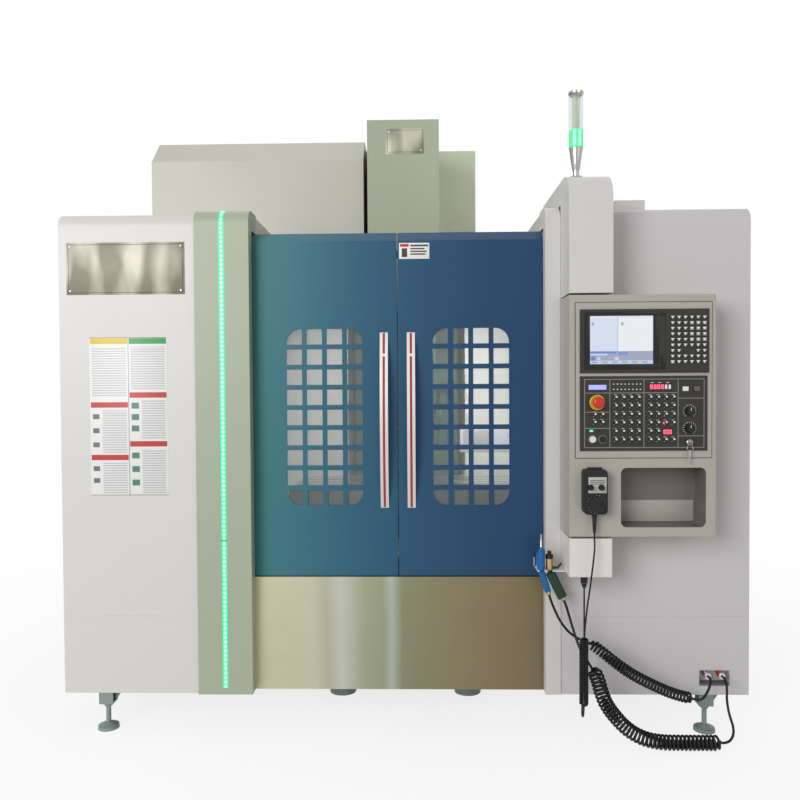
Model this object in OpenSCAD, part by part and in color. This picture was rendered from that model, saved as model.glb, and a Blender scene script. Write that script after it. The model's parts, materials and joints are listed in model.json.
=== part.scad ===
// Vertical machining centre: sheet-metal enclosure with two sliding doors, C-frame machine inside.
// Millimetres. The front faces -Y, +X is to the right, +Z is up, and the floor is Z = 0.
// The origin lies on the floor under the middle of the machine. Depths (y) in the modules are
// measured from the plane of the front panels.

/* [Enclosure] */
// Width over the side walls
width = 2520; // [2400:10:2700]
// Depth from the front panels to the back of the cabinet
depth = 2150; // [2120:10:2300]
// Height of the flat roof over the front panels
roof_z = 1918; // [1910:2:2000]
// Height of the panels' lower edge over the floor
skirt_z = 143; // [125:1:160]
// Thickness of the folded sheet
sheet = 3; // [2:0.5:4]
// Radius of the rounded upper edge of the front
brow_r = 52; // [35:1:60]
// Height of the seam in the front panels
seam_z = 430; // [400:5:500]
// Door opening, left of the centre
open_left = 555; // [545:5:570]
// Door opening, right of the centre
open_right = 522; // [515:1:535]
// Width of the light column
column_w = 201; // [150:1:240]
// How far the light column stands in front of the panels
column_proud = 12; // [4:1:20]
// Width of the light strip
strip_w = 22; // [12:1:40]
// Width of the right frame strip
frame_w = 55; // [40:1:56]

/* [Doors] */
// Height of the door sill
sill_z = 566; // [540:2:600]
// Height of the doors' upper edge
door_top = 1850; // [1800:2:1856]
// How far the doors lie behind the front panels
door_back = 45; // [43:1:50]
// Where the doors meet, from the centre
door_split = -16; // [-30:1:0]
// Gap between the doors
door_gap = 3; // [2:0.5:6]
// Height and depth of the bevel along the doors' upper edge
door_bevel = 35; // [20:1:35]
// Depth of the doors' folded edges
door_fold = 36; // [36:1:44]
// Side of a window cell
cell = 57; // [40:1:62]
// Distance from one window cell to the next
cell_pitch = 75; // [70:1:80]
// Window cells across
cell_cols = 4; // [3:1:4]
// Window cells up
cell_rows = 9; // [5:1:11]
// Radius of the window's corners
window_r = 52; // [20:1:56]
// Middle of the window, from where the doors meet
window_x = 270; // [255:1:285]
// Height of the middle of the window
window_z = 1162; // [1100:2:1200]
// Thickness of the window pane
pane_t = 5; // [3:1:8]
// Length of the door handles
handle_l = 652; // [450:2:800]
// Width of the door handles
handle_w = 30; // [20:1:36]
// Thickness of the door handles
handle_t = 9; // [6:1:14]
// Middle of the handles, from where the doors meet
handle_x = 50; // [40:1:60]

/* [Control box] */
// Width of the control box
box_w = 498; // [480:1:540]
// Height of the control box
box_h = 830; // [800:2:860]
// Depth of the control box
box_d = 150; // [120:1:170]
// Gap behind the control box
box_back = 8; // [6:1:14]
// Height of the control box's lower edge
box_z = 756; // [740:2:770]
// Left face of the control box, from the centre
box_x = 578; // [578:1:590]
// Gap above and below the control box
box_gap = 7; // [4:1:12]
// Diameter of the pivot post
pivot_d = 38; // [25:1:50]
// Distance from the pivot's axis to the box's left and rear faces
pivot_in = 32; // [30:1:40]
// Width of the pillar above and below the box
pillar_w = 150; // [130:1:170]
// Height of the pillar's roof
pillar_z = 2009; // [1980:1:2060]
// Radius of the pillar's rounded upper edge
pillar_r = 95; // [60:1:110]
// Height of the lower pillar box
pillar_low_h = 133; // [110:1:160]
// Diameter of the emergency stop's cap
estop_d = 40; // [30:1:44]
// Diameter of the two override knobs
knob_d = 32; // [24:1:38]
// Diameter of the start button
start_d = 22; // [16:1:26]

/* [Hand pendant] */
// Width of the pendant
pendant_w = 80; // [70:1:90]
// Height of the pendant
pendant_h = 152; // [140:1:170]
// Depth of the pendant
pendant_d = 42; // [34:1:50]
// Diameter of the hand wheel
wheel_d = 56; // [44:1:60]
// Diameter of the two selector knobs
selector_d = 20; // [14:1:22]

/* [Machine] */
// Travel of the table to each side
travel_x = 400; // [300:10:400]
// Travel of the saddle to the front and to the back
travel_y = 250; // [200:5:250]
// Length of the table
table_l = 1000; // [900:10:1060]
// Width of the table
table_w = 500; // [420:10:520]
// Height of the table's top
table_z = 830; // [826:2:860]
// Number of T-slots
slots = 5; // [3:2:5]
// Width of a T-slot
slot_w = 18; // [14:1:22]
// Distance from one T-slot to the next
slot_pitch = 90; // [80:1:95]
// Depth of the spindle's axis behind the front panels
spindle_y = 740; // [735:1:760]
// Distance from the spindle's axis to the column
throat = 550; // [540:2:560]
// Height of the spindle nose at rest
nose_z = 1080; // [1060:5:1120]
// Diameter of the spindle nose
nose_d = 89; // [70:1:110]
// Gauge diameter of the 7 in 24 spindle taper
taper_d = 44.45; // [31.75:0.01:69.85]
// Running clearance between a shaft and its bore
run_fit = 0.05; // [0.02:0.01:0.1]
// Width of the spindle head
head_w = 280; // [240:2:300]
// Height of the column casting
column_z = 2230; // [2200:5:2260]
// Width of the column casting
casting_w = 600; // [560:5:640]
// Width of a guide rail
rail_w = 30; // [25:1:35]
// Height of a guide rail
rail_h = 32; // [26:1:36]
// Number of sections in the front way cover
cover_n = 5; // [5:1:5]
// Length of one way cover section
cover_l = 140; // [136:1:144]
// Width of the widest way cover section
cover_w = 640; // [600:2:660]

/* [Covers and lights] */
// Width of the spindle head's cover
hat_w = 314; // [300:2:320]
// Height of the top of the spindle head's cover
hat_z = 2438; // [2420:2:2480]
// Height of the top of the column cover
crown_z = 2482; // [2450:2:2500]
// Height of the top of the tool magazine's hood
hood_z = 2399; // [2380:1:2440]
// Height and depth of the hood's front bevel
hood_bevel = 111; // [60:1:140]
// Diameter of the tool magazine's disc
disc_d = 500; // [460:10:500]
// Number of tool pockets
pockets = 20; // [12:1:24]
// Diameter of the signal tower
tower_d = 55; // [40:1:70]
// Height of the signal tower above its foot
tower_h = 336; // [260:2:360]
// Diameter of the levelling feet's discs
foot_d = 78; // [60:1:90]
// Diameter of the levelling feet's bolts
foot_bolt = 18; // [12:1:24]
// Diameter of the pendant's lead
lead_d = 6; // [5:0.5:8]
// Diameter of the air and coolant hoses
hose_d = 9; // [8:0.5:10]

/* [Hidden] */

white = [0.86, 0.85, 0.83];
sage = [0.68, 0.71, 0.63];
blue = [0.19, 0.36, 0.47];
grey_beige = [0.62, 0.61, 0.57];
steel = [0.72, 0.71, 0.68];
green = [0.22, 0.33, 0.27];
black = [0.12, 0.12, 0.13];
dark = [0.25, 0.26, 0.26];

// Running and seating gaps
slide_fit = 0.3;
seat = 0.3;
eps = 1;

// Overall layout
half = width / 2;
hook_t = 4;
wheel_h = 14;
wheel_grip = 8;
reach = box_back + box_d + hook_t + pendant_d + wheel_h + wheel_grip;
front_y = (reach - depth) / 2;
cabinet_d = 400;
cabinet_w = 1200;
cabinet_z0 = 260;
cabinet_z1 = 1880;
cabinet_rim = 10;
leaf_t = 2;
leaf_gap = 2;
vent_gap = 98;
vent_w = 114;
vent_h = 72;
house_d = depth - cabinet_d;
lap = 120;
column_x = -open_left - column_w;
frame_x = open_right + frame_w;
frame_proud = 4;
brow_up = 9;
tube = 40;
frame_top = skirt_z + tube;
foot_in = 30;
foot_side = 150;
pad_d = 110;
bed_z = 80;

// Doors
sill_d = 130;
door_z0 = sill_z + 4;
rail_bar_y = door_back + door_fold + 20;
rail_bar_t = 8;
rail_bar_h = 12;
hang_z = door_top - 90;
hang_h = 30;
bracket_h = 16;
hanger_clear = 4;
left_w = open_left + door_split - door_gap / 2 - 1;
right_w = open_right - door_split - door_gap / 2 - 1;
door_travel = 455;
window_w = (cell_cols - 1) * cell_pitch + cell;
window_h = (cell_rows - 1) * cell_pitch + cell;
pane_lap = 20;
handle_out = door_back - 2;

// Work space
guard_x = 950;
guard_y = sill_d;
guard_back = spindle_y + throat - 20;
guard_z = 450;
crown_front = spindle_y + throat - 110;
cover_gap = 3;
column_y = spindle_y + throat;
casting_back = house_d - 20;
pan_low = 250;
casting_top = 520;
saddle_z0 = casting_top + rail_h + 8;
saddle_l = 860;
saddle_w = 430;
table_t = 100;
saddle_top = table_z - table_t - rail_h - 6;
rail_x = 230;
rail_y = 150;
column_rail_x = 190;
column_rail_z = 950;
carriage_t = 36;
carriage_y = column_y - rail_h - 4;
head_front = spindle_y - 110;
head_z0 = nose_z + 80;
head_z1 = nose_z + 580;
saddle_front = spindle_y - saddle_w / 2;
cover_step = (saddle_front - sill_d - cover_l) / (cover_n - 1);
cover_h = 150;
cover_t = 2;
cover_nest = cover_t + slide_fit;
cover_z = saddle_z0 + 60;
magazine_x = -640;
magazine_y = spindle_y + 165;
magazine_z = 2120;
shaft_d = 60;
motor_w = 130;
drive_w = 220;
drive_l = 400;

// Control box
box_front = box_back + box_d;
pivot_x = box_x + pivot_in;
pivot_y = -box_back - pivot_in;
pillar_x1 = box_x + pillar_w;
panel_x0 = box_x + 35;
screen_w = 438;
screen_h = 218;
screen_z0 = box_z + box_h - 50 - screen_h;
ops_w = 432;
ops_h = 256;
ops_z0 = screen_z0 - 10 - ops_h;
pocket_w = 290;
pocket_x = box_x + 176;
pocket_z = box_z + 32;
pocket_h = ops_z0 - 59 - pocket_z;
pocket_r = 20;
pocket_d = 110;
face_t = 4;
estop_x = panel_x0 + 58;
estop_z = ops_z0 + 166;
knob_x = panel_x0 + 372;
feed_z = ops_z0 + 135;
speed_z = ops_z0 + 76;
start_x = panel_x0 + 42;
start_z = ops_z0 + 40;
pendant_x = box_x + 80;
pendant_z = box_z + 84;
pendant_y = -box_front - hook_t;
pendant_face = pendant_y - pendant_d;
wheel_x = pendant_x + 3;
wheel_z = pendant_z + 34;
knobs_z = pendant_z + 92;
relief_l = 66;
relief_d = 18;

// Hose outlet in the right panel
outlet_side = 179;
cut_x = half - outlet_side;
cut_w = 110;
cut_z = 176;
cut_h = 57;
out_x = [cut_x + 22, cut_x + 73];
out_z = 221;

// Cord routes, from the middle of the floor under the front panels' plane. Each stretch starts in the
// direction in which the one before it ends, so that their ends meet face to face.
cord_gap = 0.2;
function last(path) = path[len(path) - 1];
function heading(path) = unit(last(path) - path[len(path) - 2]);
function ahead(path, l) = last(path) + l * heading(path);
function after(path, l, rest) = concat([ahead(path, cord_gap), ahead(path, l)], rest);
function outwards(path) = [for (p = path) [p[0] + (out_x[0] - 1103) * max(0, p[0] - 660) / 443, p[1], p[2]]];
lead_top = [pendant_x, pendant_y - 20, pendant_z - relief_l - cord_gap];
lead_path = [lead_top, [658, -182, 755], [656, -190, 710], [643, -190, 600], [633, -190, 530],
  [625, -190, 460], [622, -190, 420]];
coil_path = after(lead_path, 12, [[620, -190, 350], [620, -190, 250], [620, -190, 180]]);
tail_path = after(coil_path, 10, [[620, -184, 148], [621, -170, 136], [623, -150, 130],
  [627, -128, 134], [632, -108, 146], [637, -94, 170], [641, -88, 210], [643, -86, 260],
  [644, -86, 330], [644, -86, 470], [644, -86, 559.8]]);
air_top = [[521.9, -76, 532.2], [530.4, -76, 506], [543, -80, 475], [560, -86, 441], [585, -94, 408],
  [612, -100, 388], [638, -106, 377], [656, -112, 371]];
air_coil = after(air_top, 12, outwards([[706, -126, 338], [754, -128, 300], [806, -124, 264],
  [876, -114, 225], [950, -103, 190], [1022, -94, 168]]));
air_tail = after(air_coil, 10, outwards([[1050, -90, 162], [1064, -86, 167], [1078, -78, 180], [1090, -70, 196],
  [1099, -60, 211], [1103, -48, 220], [1103, -30 - cord_gap, out_z]]));
cool_top = [[574.4, -76, 512.6], [583, -77, 490], [592, -84, 457], [600, -96, 425], [608, -110, 395],
  [616, -124, 368], [626, -135, 345], [642, -144, 320], [656, -149, 298]];
cool_coil = after(cool_top, 14, outwards([[676, -152, 258], [688, -152, 216], [708, -148, 168],
  [744, -140, 118], [786, -138, 76], [838, -136, 46], [896, -134, 32], [970, -133, 29],
  [1110, -133, 29]]));
cool_tail = after(cool_coil, 10, outwards([[1136, -133, 35], [1147, -133, 50], [1151, -132, 69],
  [1149, -130, 90], [1144, -124, 111], [1141, -112, 136], [1144, -92, 166], [1149, -80, 190],
  [1152, -68, 209], [1154, -50, 220], [1154, -30 - cord_gap, out_z]]));
coil_d = 32;
gun_x = [494, 523];
gun_y = -76;
gun_neck = 15;
air_lean = 18;
cool_lean = 26;
air_coil_d = 42;
cool_coil_d = 54;

// Places children from the plane of the front panels
module at_front() { translate([0, front_y, 0]) children(); }

// Extrudes an outline drawn as (y, z) from x0 to x1
module along_x(x0, x1) {
  translate([x0, 0, 0]) rotate([90, 0, 90]) linear_extrude(x1 - x0) children();
}

// Extrudes an outline drawn as (x, z) from y0 to y1
module along_y(y0, y1) {
  translate([0, y1, 0]) rotate([90, 0, 0]) linear_extrude(y1 - y0) children();
}

// Box between two corners
module block(a, b) { translate(a) cube(b - a); }

// Rectangle with round corners about the origin
module round_rect(w, h, r) {
  translate([-w / 2 + r, -h / 2]) square([w - 2 * r, h]);
  translate([-w / 2, -h / 2 + r]) square([w, h - 2 * r]);
  for (x = [-1, 1], y = [-1, 1])
    translate([x * (w / 2 - r), y * (h / 2 - r)]) circle(r, $fn = 48);
}

// Filled outline of a front that turns into the roof over a rounded brow
module brow_fill(y0, z0, z1, r, back) {
  translate([y0, z0]) square([back - y0, z1 - r - z0]);
  translate([y0 + r, z0]) square([back - y0 - r, z1 - z0]);
  translate([y0 + r, z1 - r]) circle(r, $fn = 96);
}

// The same front as a folded sheet
module brow_sheet(y0, z0, z1, r, back, t) {
  translate([y0, z0]) square([t, z1 - r - z0]);
  translate([y0 + r, z1 - t]) square([back - y0 - r, t]);
  intersection() {
    translate([y0 + r, z1 - r]) difference() {
      circle(r, $fn = 96);
      circle(r - t, $fn = 96);
    }
    translate([y0, z1 - r]) square([r, r]);
  }
}

// Cylinder lying along Y, from y0 to y1
module rod_y(x, z, d, y0, y1) {
  translate([x, y0, z]) rotate([-90, 0, 0]) cylinder(h = y1 - y0, d = d, $fn = 48);
}

// Points of a ring of n sides about a point, across the direction of the route
function unit(v) = v / norm(v);
function side_of(t) = unit(cross(t, abs(t[2]) > 0.9 ? [0, 1, 0] : [0, 0, 1]));
function ring(p, t, r, n) = let (u = side_of(t), v = cross(u, t))
  [for (k = [0:n - 1]) p + r * (cos(360 * k / n) * u + sin(360 * k / n) * v)];
function way(path, i) = unit(path[min(i + 1, len(path) - 1)] - path[max(i - 1, 0)]);

// Round tube swept along a route
module sweep(path, d, n) {
  m = len(path);
  points = [for (i = [0:m - 1]) each ring(path[i], way(path, i), d / 2, n)];
  sides = [for (i = [0:m - 2], k = [0:n - 1])
    [i * n + k, i * n + (k + 1) % n, (i + 1) * n + (k + 1) % n, (i + 1) * n + k]];
  start = [for (k = [n - 1:-1:0]) k];
  end = [for (k = [0:n - 1]) (m - 1) * n + k];
  polyhedron(points, concat(sides, [start, end]), convexity = 4);
}

// Tube frame that carries the sheet metal
module base_frame() color(dark) at_front() difference() {
  block([-half + sheet, sheet, skirt_z], [half - sheet, house_d - sheet, frame_top]);
  block([-open_left - sheet, 0, skirt_z - eps], [open_right + sheet, door_back, frame_top + eps]);
  block([-half + sheet + tube, sheet + tube, skirt_z - eps],
    [-open_left - tube, sill_d - sheet - tube, frame_top + eps]);
  block([open_right + tube, sheet + tube, skirt_z - eps],
    [half - sheet - tube, sill_d - sheet - tube, frame_top + eps]);
  block([-half + sheet + tube, sill_d - sheet, skirt_z - eps],
    [half - sheet - tube, house_d - sheet - tube, frame_top + eps]);
  block([-casting_w / 2 - 75, house_d - sheet - tube - eps, skirt_z - eps],
    [casting_w / 2 + 75, casting_back, frame_top + eps]);
}

// Levelling foot: folded bracket, bolt, nut and disc
module foot(x, y) {
  translate([x, y, 0]) {
    cylinder(h = 12, d1 = foot_d, d2 = foot_d - 4, $fn = 64);
    translate([0, 0, 12]) cylinder(h = 10, d1 = foot_d - 10, d2 = foot_bolt + 8, $fn = 64);
    translate([0, 0, 22]) cylinder(h = skirt_z - 30, d = foot_bolt, $fn = 32);
    translate([0, 0, skirt_z - 58]) cylinder(h = 12, d = foot_bolt * 1.8, $fn = 6);
    block([-26, -24, skirt_z - 46], [26, 24, skirt_z - 38]);
    block([-26, -24, skirt_z - 46], [26, -18, skirt_z]);
    block([-26, 18, skirt_z - 46], [26, 24, skirt_z]);
    translate([26, 0, 0]) along_y(-3, 3)
      polygon([[0, skirt_z], [0, skirt_z - 42], [30, skirt_z]]);
  }
}

// Feet under the sheet metal and under the casting
module levelling_feet() color([0.55, 0.6, 0.55]) at_front() {
  for (x = [-1, 1], y = [foot_in, house_d - foot_in]) foot(x * (half - foot_side), y);
  for (x = [-1, 1], y = [sill_d + 250, spindle_y + 160, casting_back - 90]) {
    translate([x * (casting_w / 2 - 40), y, 0]) cylinder(h = 30, d = pad_d, $fn = 48);
    translate([x * (casting_w / 2 - 40), y, 30]) cylinder(h = bed_z - 30, d = pad_d / 3, $fn = 32);
  }
}

// Left front panel with its outer cheek, seam and lower return
module left_panel() color(white) at_front() difference() {
  union() {
    along_x(-half, column_x) brow_sheet(0, skirt_z, roof_z, brow_r, lap, sheet);
    along_x(-half, -half + sheet) brow_fill(0, skirt_z, roof_z, brow_r, lap);
  }
  block([-half - eps, -eps, seam_z], [column_x + eps, 1.2, seam_z + 3]);
}

// Right front panel with its outer cheek, seam and hose outlet
module right_panel() color(white) at_front() difference() {
  union() {
    along_x(frame_x, half) brow_sheet(0, skirt_z, roof_z, brow_r, lap, sheet);
    along_x(half - sheet, half) brow_fill(0, skirt_z, roof_z, brow_r, lap);
    block([cut_x - sheet, sheet, cut_z - sheet], [cut_x + cut_w + sheet, tube, cut_z + cut_h + sheet]);
  }
  block([frame_x - eps, -eps, seam_z], [half + eps, 1.2, seam_z + 3]);
  block([cut_x, -eps, cut_z], [cut_x + cut_w, tube - sheet, cut_z + cut_h]);
  block([cut_x - 2 * sheet, sheet, skirt_z - eps], [cut_x + cut_w + 2 * sheet, tube + sheet, frame_top]);
}

// Column to the left of the doors, with the channel for the light strip
module light_column() color(sage) at_front() difference() {
  union() {
    along_x(column_x, -open_left) brow_sheet(-column_proud, skirt_z, roof_z + brow_up, brow_r, lap, sheet);
    along_x(-open_left - sheet, -open_left) difference() {
      brow_fill(-column_proud, skirt_z, roof_z + brow_up, brow_r, lap);
      translate([door_back - sheet, -eps]) square([lap, door_top + 6 + eps]);
    }
    along_x(column_x, column_x + sheet) difference() {
      brow_fill(-column_proud, skirt_z, roof_z + brow_up, brow_r, lap);
      translate([sheet, -eps]) square([lap, roof_z - brow_r + eps]);
    }
  }
  light_channel(0);
}

// Shape of the light strip, which turns over the brow
module light_channel(gap) {
  x = column_x + column_w / 2 - strip_w / 2;
  along_x(x + gap, x + strip_w - gap) difference() {
    brow_sheet(-column_proud - gap, skirt_z + 25 + gap, roof_z + brow_up, brow_r, lap - 70 - gap, sheet - 1);
    translate([lap - 70, 0]) square([lap, roof_z * 2]);
  }
}

// Diffuser strip with its light band
module light_strip() color([0.2, 0.95, 0.5]) at_front() light_channel(0);

// Strip to the right of the doors
module frame_strip() color(white) at_front() {
  along_x(open_right, frame_x) brow_sheet(-frame_proud, skirt_z, roof_z + brow_up, brow_r, lap, sheet);
  along_x(open_right, open_right + sheet) difference() {
    brow_fill(-frame_proud, skirt_z, roof_z + brow_up, brow_r, lap);
    translate([door_back - sheet, -eps]) square([lap, door_top + 6 + eps]);
  }
}

// Stainless apron under the doors, folded back into the sill
module apron() color(steel) at_front() {
  block([-open_left, door_back - sheet, skirt_z], [open_right, door_back, sill_z]);
  block([-open_left, door_back, sill_z - sheet], [open_right, sill_d, sill_z]);
}

// Lower rail on the sill and upper rail behind the doors
module door_tracks() color(steel) at_front() {
  block([-open_left - door_travel - 30, rail_bar_y, sill_z],
    [open_right + door_travel + 30, rail_bar_y + rail_bar_t, sill_z + rail_bar_h]);
  block([-open_left - door_travel - 30, rail_bar_y + 13, hang_z],
    [open_right + door_travel + 30, rail_bar_y + 19, hang_z + hang_h]);
  for (x = [-guard_x + 60, -open_left - 60, open_right + 30, guard_x - 90])
    block([x, rail_bar_y + 19, hang_z], [x + 30, guard_y, hang_z + bracket_h]);
}

// Sheet of a door as (y, z): face, bevel, top and lower return
module door_section() {
  y = door_back;
  b = door_bevel;
  polygon([[y, door_z0], [y, door_top - b], [y + b, door_top], [y + door_fold + 14, door_top],
    [y + door_fold + 14, door_top - sheet], [y + b + sheet / 2, door_top - sheet],
    [y + sheet, door_top - b - sheet / 2], [y + sheet, door_z0 + sheet],
    [y + door_fold, door_z0 + sheet], [y + door_fold, door_z0]]);
}

// Closed outline of a door, for its folded sides
module door_fill() {
  y = door_back;
  polygon([[y, door_z0], [y, door_top - door_bevel], [y + door_bevel, door_top],
    [y + door_fold, door_top], [y + door_fold, door_z0]]);
}

// Grid of window cells, cut off by a rounded frame
module window_cells() {
  intersection() {
    round_rect(window_w, window_h, window_r);
    for (i = [0:cell_cols - 1], j = [0:cell_rows - 1])
      translate([(i - (cell_cols - 1) / 2) * cell_pitch, (j - (cell_rows - 1) / 2) * cell_pitch])
        square(cell, center = true);
  }
}

// A door from its meeting edge outwards, with hangers above and shoes below
module door(w) difference() {
  union() {
    along_x(0, w) door_section();
    for (x = [0, w - sheet]) along_x(x, x + sheet) door_fill();
    for (x = [60, w - 100]) {
      block([x, door_back + sheet - 1, hang_z - 30], [x + 40, guard_y - 3, hang_z + hang_h + 18]);
      block([x, door_back + sheet - 1, door_z0 + 1], [x + 40, rail_bar_y + 18, door_z0 + 30]);
    }
  }
  along_y(door_back - eps, door_back + sheet + eps) translate([window_x, window_z]) window_cells();
  block([-eps, rail_bar_y + 13 - slide_fit, hang_z - 30 - eps],
    [w + eps, rail_bar_y + 19 + slide_fit, hang_z + hang_h + slide_fit]);
  block([-eps, rail_bar_y + 18, hang_z - 30 - eps],
    [w + eps, guard_y + eps, hang_z + bracket_h + hanger_clear]);
  block([-eps, rail_bar_y - slide_fit, 0], [w + eps, rail_bar_y + rail_bar_t + slide_fit,
    sill_z + rail_bar_h + slide_fit]);
}

module left_door() color(blue) at_front()
  translate([door_split - door_gap / 2, 0, 0]) mirror([1, 0, 0]) door(left_w);

module right_door() color(blue) at_front()
  translate([door_split + door_gap / 2, 0, 0]) door(right_w);

// Clear pane behind a window
module pane() {
  y = door_back + sheet;
  along_y(y, y + pane_t) translate([window_x, window_z])
    round_rect(window_w + 2 * pane_lap, window_h + 2 * pane_lap, window_r);
}

module left_pane() color([0.8, 0.9, 0.95, 0.4]) at_front()
  translate([door_split - door_gap / 2, 0, 0]) mirror([1, 0, 0]) pane();

module right_pane() color([0.8, 0.9, 0.95, 0.4]) at_front()
  translate([door_split + door_gap / 2, 0, 0]) pane();

// Bow handle: a flat bar bent to an arc that stands on the door
module bow() {
  rise = handle_out;
  r = (handle_l * handle_l / 4 + rise * rise) / (2 * rise);
  along_x(handle_x - handle_w / 2, handle_x + handle_w / 2) intersection() {
    translate([door_back - rise + r, window_z - 12]) difference() {
      circle(r, $fn = 240);
      circle(r - handle_t, $fn = 240);
    }
    translate([0, window_z - 12 - handle_l / 2]) square([door_back, handle_l]);
  }
}

module left_handle() color(steel) at_front()
  translate([door_split, 0, 0]) mirror([1, 0, 0]) bow();

module right_handle() color(steel) at_front() translate([door_split, 0, 0]) bow();

// Outer wall and roof of one side, as (x, z)
module housing_section(inner) {
  translate([-half, skirt_z]) square([sheet, roof_z - skirt_z]);
  translate([-half, roof_z - sheet]) square([half - inner, sheet]);
}

// Lip under the inner edge of the roof, from the front to the rear wall of the work space
module roof_lip(inner) {
  lip_z = door_top + 6;
  block([-inner - sheet, lap, lip_z], [-inner, guard_back - sheet, roof_z]);
}

module left_housing() color(white) at_front() {
  along_y(lap, house_d - sheet) housing_section(open_left);
  roof_lip(open_left);
}

module right_housing() color(white) at_front() {
  mirror([1, 0, 0]) {
    along_y(lap, house_d - sheet) housing_section(open_right);
    roof_lip(open_right);
  }
  vent_x = pillar_x1 + vent_gap;
  block([vent_x, 200, roof_z - sheet], [vent_x + vent_w, 320, roof_z + vent_h]);
}

// Rear wall, middle roof and electrical cabinet
module rear_wall() color(white) at_front() {
  block([-half, house_d - sheet, skirt_z], [half, house_d, roof_z]);
  difference() {
    block([-open_left, guard_back, roof_z - sheet], [open_right, house_d - sheet, roof_z]);
    block([-casting_w / 2 - 5, guard_back - eps, roof_z - 2 * sheet],
      [casting_w / 2 + 5, house_d - 2 * sheet, roof_z + eps]);
  }
  w = cabinet_w / 2;
  leaf = w - cabinet_rim * 0.6 - sheet;
  difference() {
    block([-w, house_d, cabinet_z0], [w, depth, cabinet_z1]);
    block([-w + sheet, house_d - eps, cabinet_z0 + sheet],
      [w - sheet, depth - sheet - leaf_t, cabinet_z1 - sheet]);
    block([-w / 3, house_d + 100, cabinet_z0 - eps], [w / 3, depth - 100, cabinet_z0 + sheet + eps]);
    for (x = [-w + cabinet_rim * 0.6, sheet])
      block([x, depth - leaf_t, cabinet_z0 + cabinet_rim], [x + leaf, depth + eps, cabinet_z1 - cabinet_rim]);
  }
  for (x = [-w + cabinet_rim * 0.6, sheet])
    block([x + leaf_gap, depth - leaf_t, cabinet_z0 + cabinet_rim + leaf_gap],
      [x + leaf - leaf_gap, depth, cabinet_z1 - cabinet_rim - leaf_gap]);
}

// Plan of the work space walls as a folded sheet
module guard_wall(s, inner) {
  x = s * guard_x;
  xi = s * (inner + 4);
  t = sheet;
  polygon([[xi, guard_y], [x, guard_y], [x, guard_back], [s * (casting_w / 2 + 10), guard_back],
    [s * (casting_w / 2 + 10), guard_back - t], [x - s * t, guard_back - t],
    [x - s * t, guard_y + t], [xi, guard_y + t]]);
}

module splash_guard() color([0.8, 0.82, 0.82]) at_front()
  translate([0, 0, guard_z]) linear_extrude(roof_z - sheet - guard_z) {
    guard_wall(-1, open_left);
    guard_wall(1, open_right);
  }

// Sloping floor of the work space, with its front and rear walls
module chip_pan() color(steel) at_front() {
  t = sheet;
  for (s = [0, 1]) mirror([s, 0, 0]) along_y(guard_y, guard_back) polygon([
    [-guard_x, guard_z], [-guard_x, 430], [-casting_w / 2 - 130, pan_low], [-casting_w / 2 - 80, pan_low],
    [-casting_w / 2 - 80, pan_low + t], [-casting_w / 2 - 129, pan_low + t],
    [-guard_x + t, 431], [-guard_x + t, guard_z]]);
  block([-guard_x, guard_y - t, frame_top], [guard_x, guard_y, sill_z - t]);
}

// Bed of the machine with the saddle's two rails
module base_casting() color(green) at_front() {
  difference() {
    along_y(sill_d + 160, casting_back) polygon([[-casting_w / 2 - 70, bed_z], [casting_w / 2 + 70, bed_z],
      [casting_w / 2 + 70, 180], [casting_w / 2, 330], [casting_w / 2, casting_top],
      [-casting_w / 2, casting_top], [-casting_w / 2, 330], [-casting_w / 2 - 70, 180]]);
    block([-85, sill_d + 159, casting_top - 70], [85, column_y - 25, casting_top + eps]);
    for (s = [-1, 1], y = [420, 700, 980]) block([s * (casting_w / 2 + 50) - 25, y, 60],
      [s * (casting_w / 2 + 50) + 25, y + 160, 150]);
  }
  for (s = [-1, 1]) block([s * rail_x - rail_w / 2, sill_d + 170, casting_top],
    [s * rail_x + rail_w / 2, column_y - 60, casting_top + rail_h]);
}

// Column with the head's two rails and a channel for the screw
module column() color(green) at_front() {
  difference() {
    translate([0, 0, casting_top]) linear_extrude(column_z - casting_top) polygon([
      [-casting_w / 2 + 30, column_y], [casting_w / 2 - 30, column_y], [casting_w / 2, column_y + 120],
      [casting_w / 2, casting_back], [-casting_w / 2, casting_back],
      [-casting_w / 2, column_y + 120]]);
    block([-90, column_y - eps, column_rail_z - 60], [90, column_y + 90, column_z - 60]);
    block([-casting_w / 2 + 60, column_y + 150, casting_top + 60],
      [casting_w / 2 - 60, casting_back + eps, column_z - 90]);
  }
  for (s = [-1, 1]) block([s * column_rail_x - rail_w / 2, column_y - rail_h, column_rail_z],
    [s * column_rail_x + rail_w / 2, column_y, column_z - 40]);
}

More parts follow.
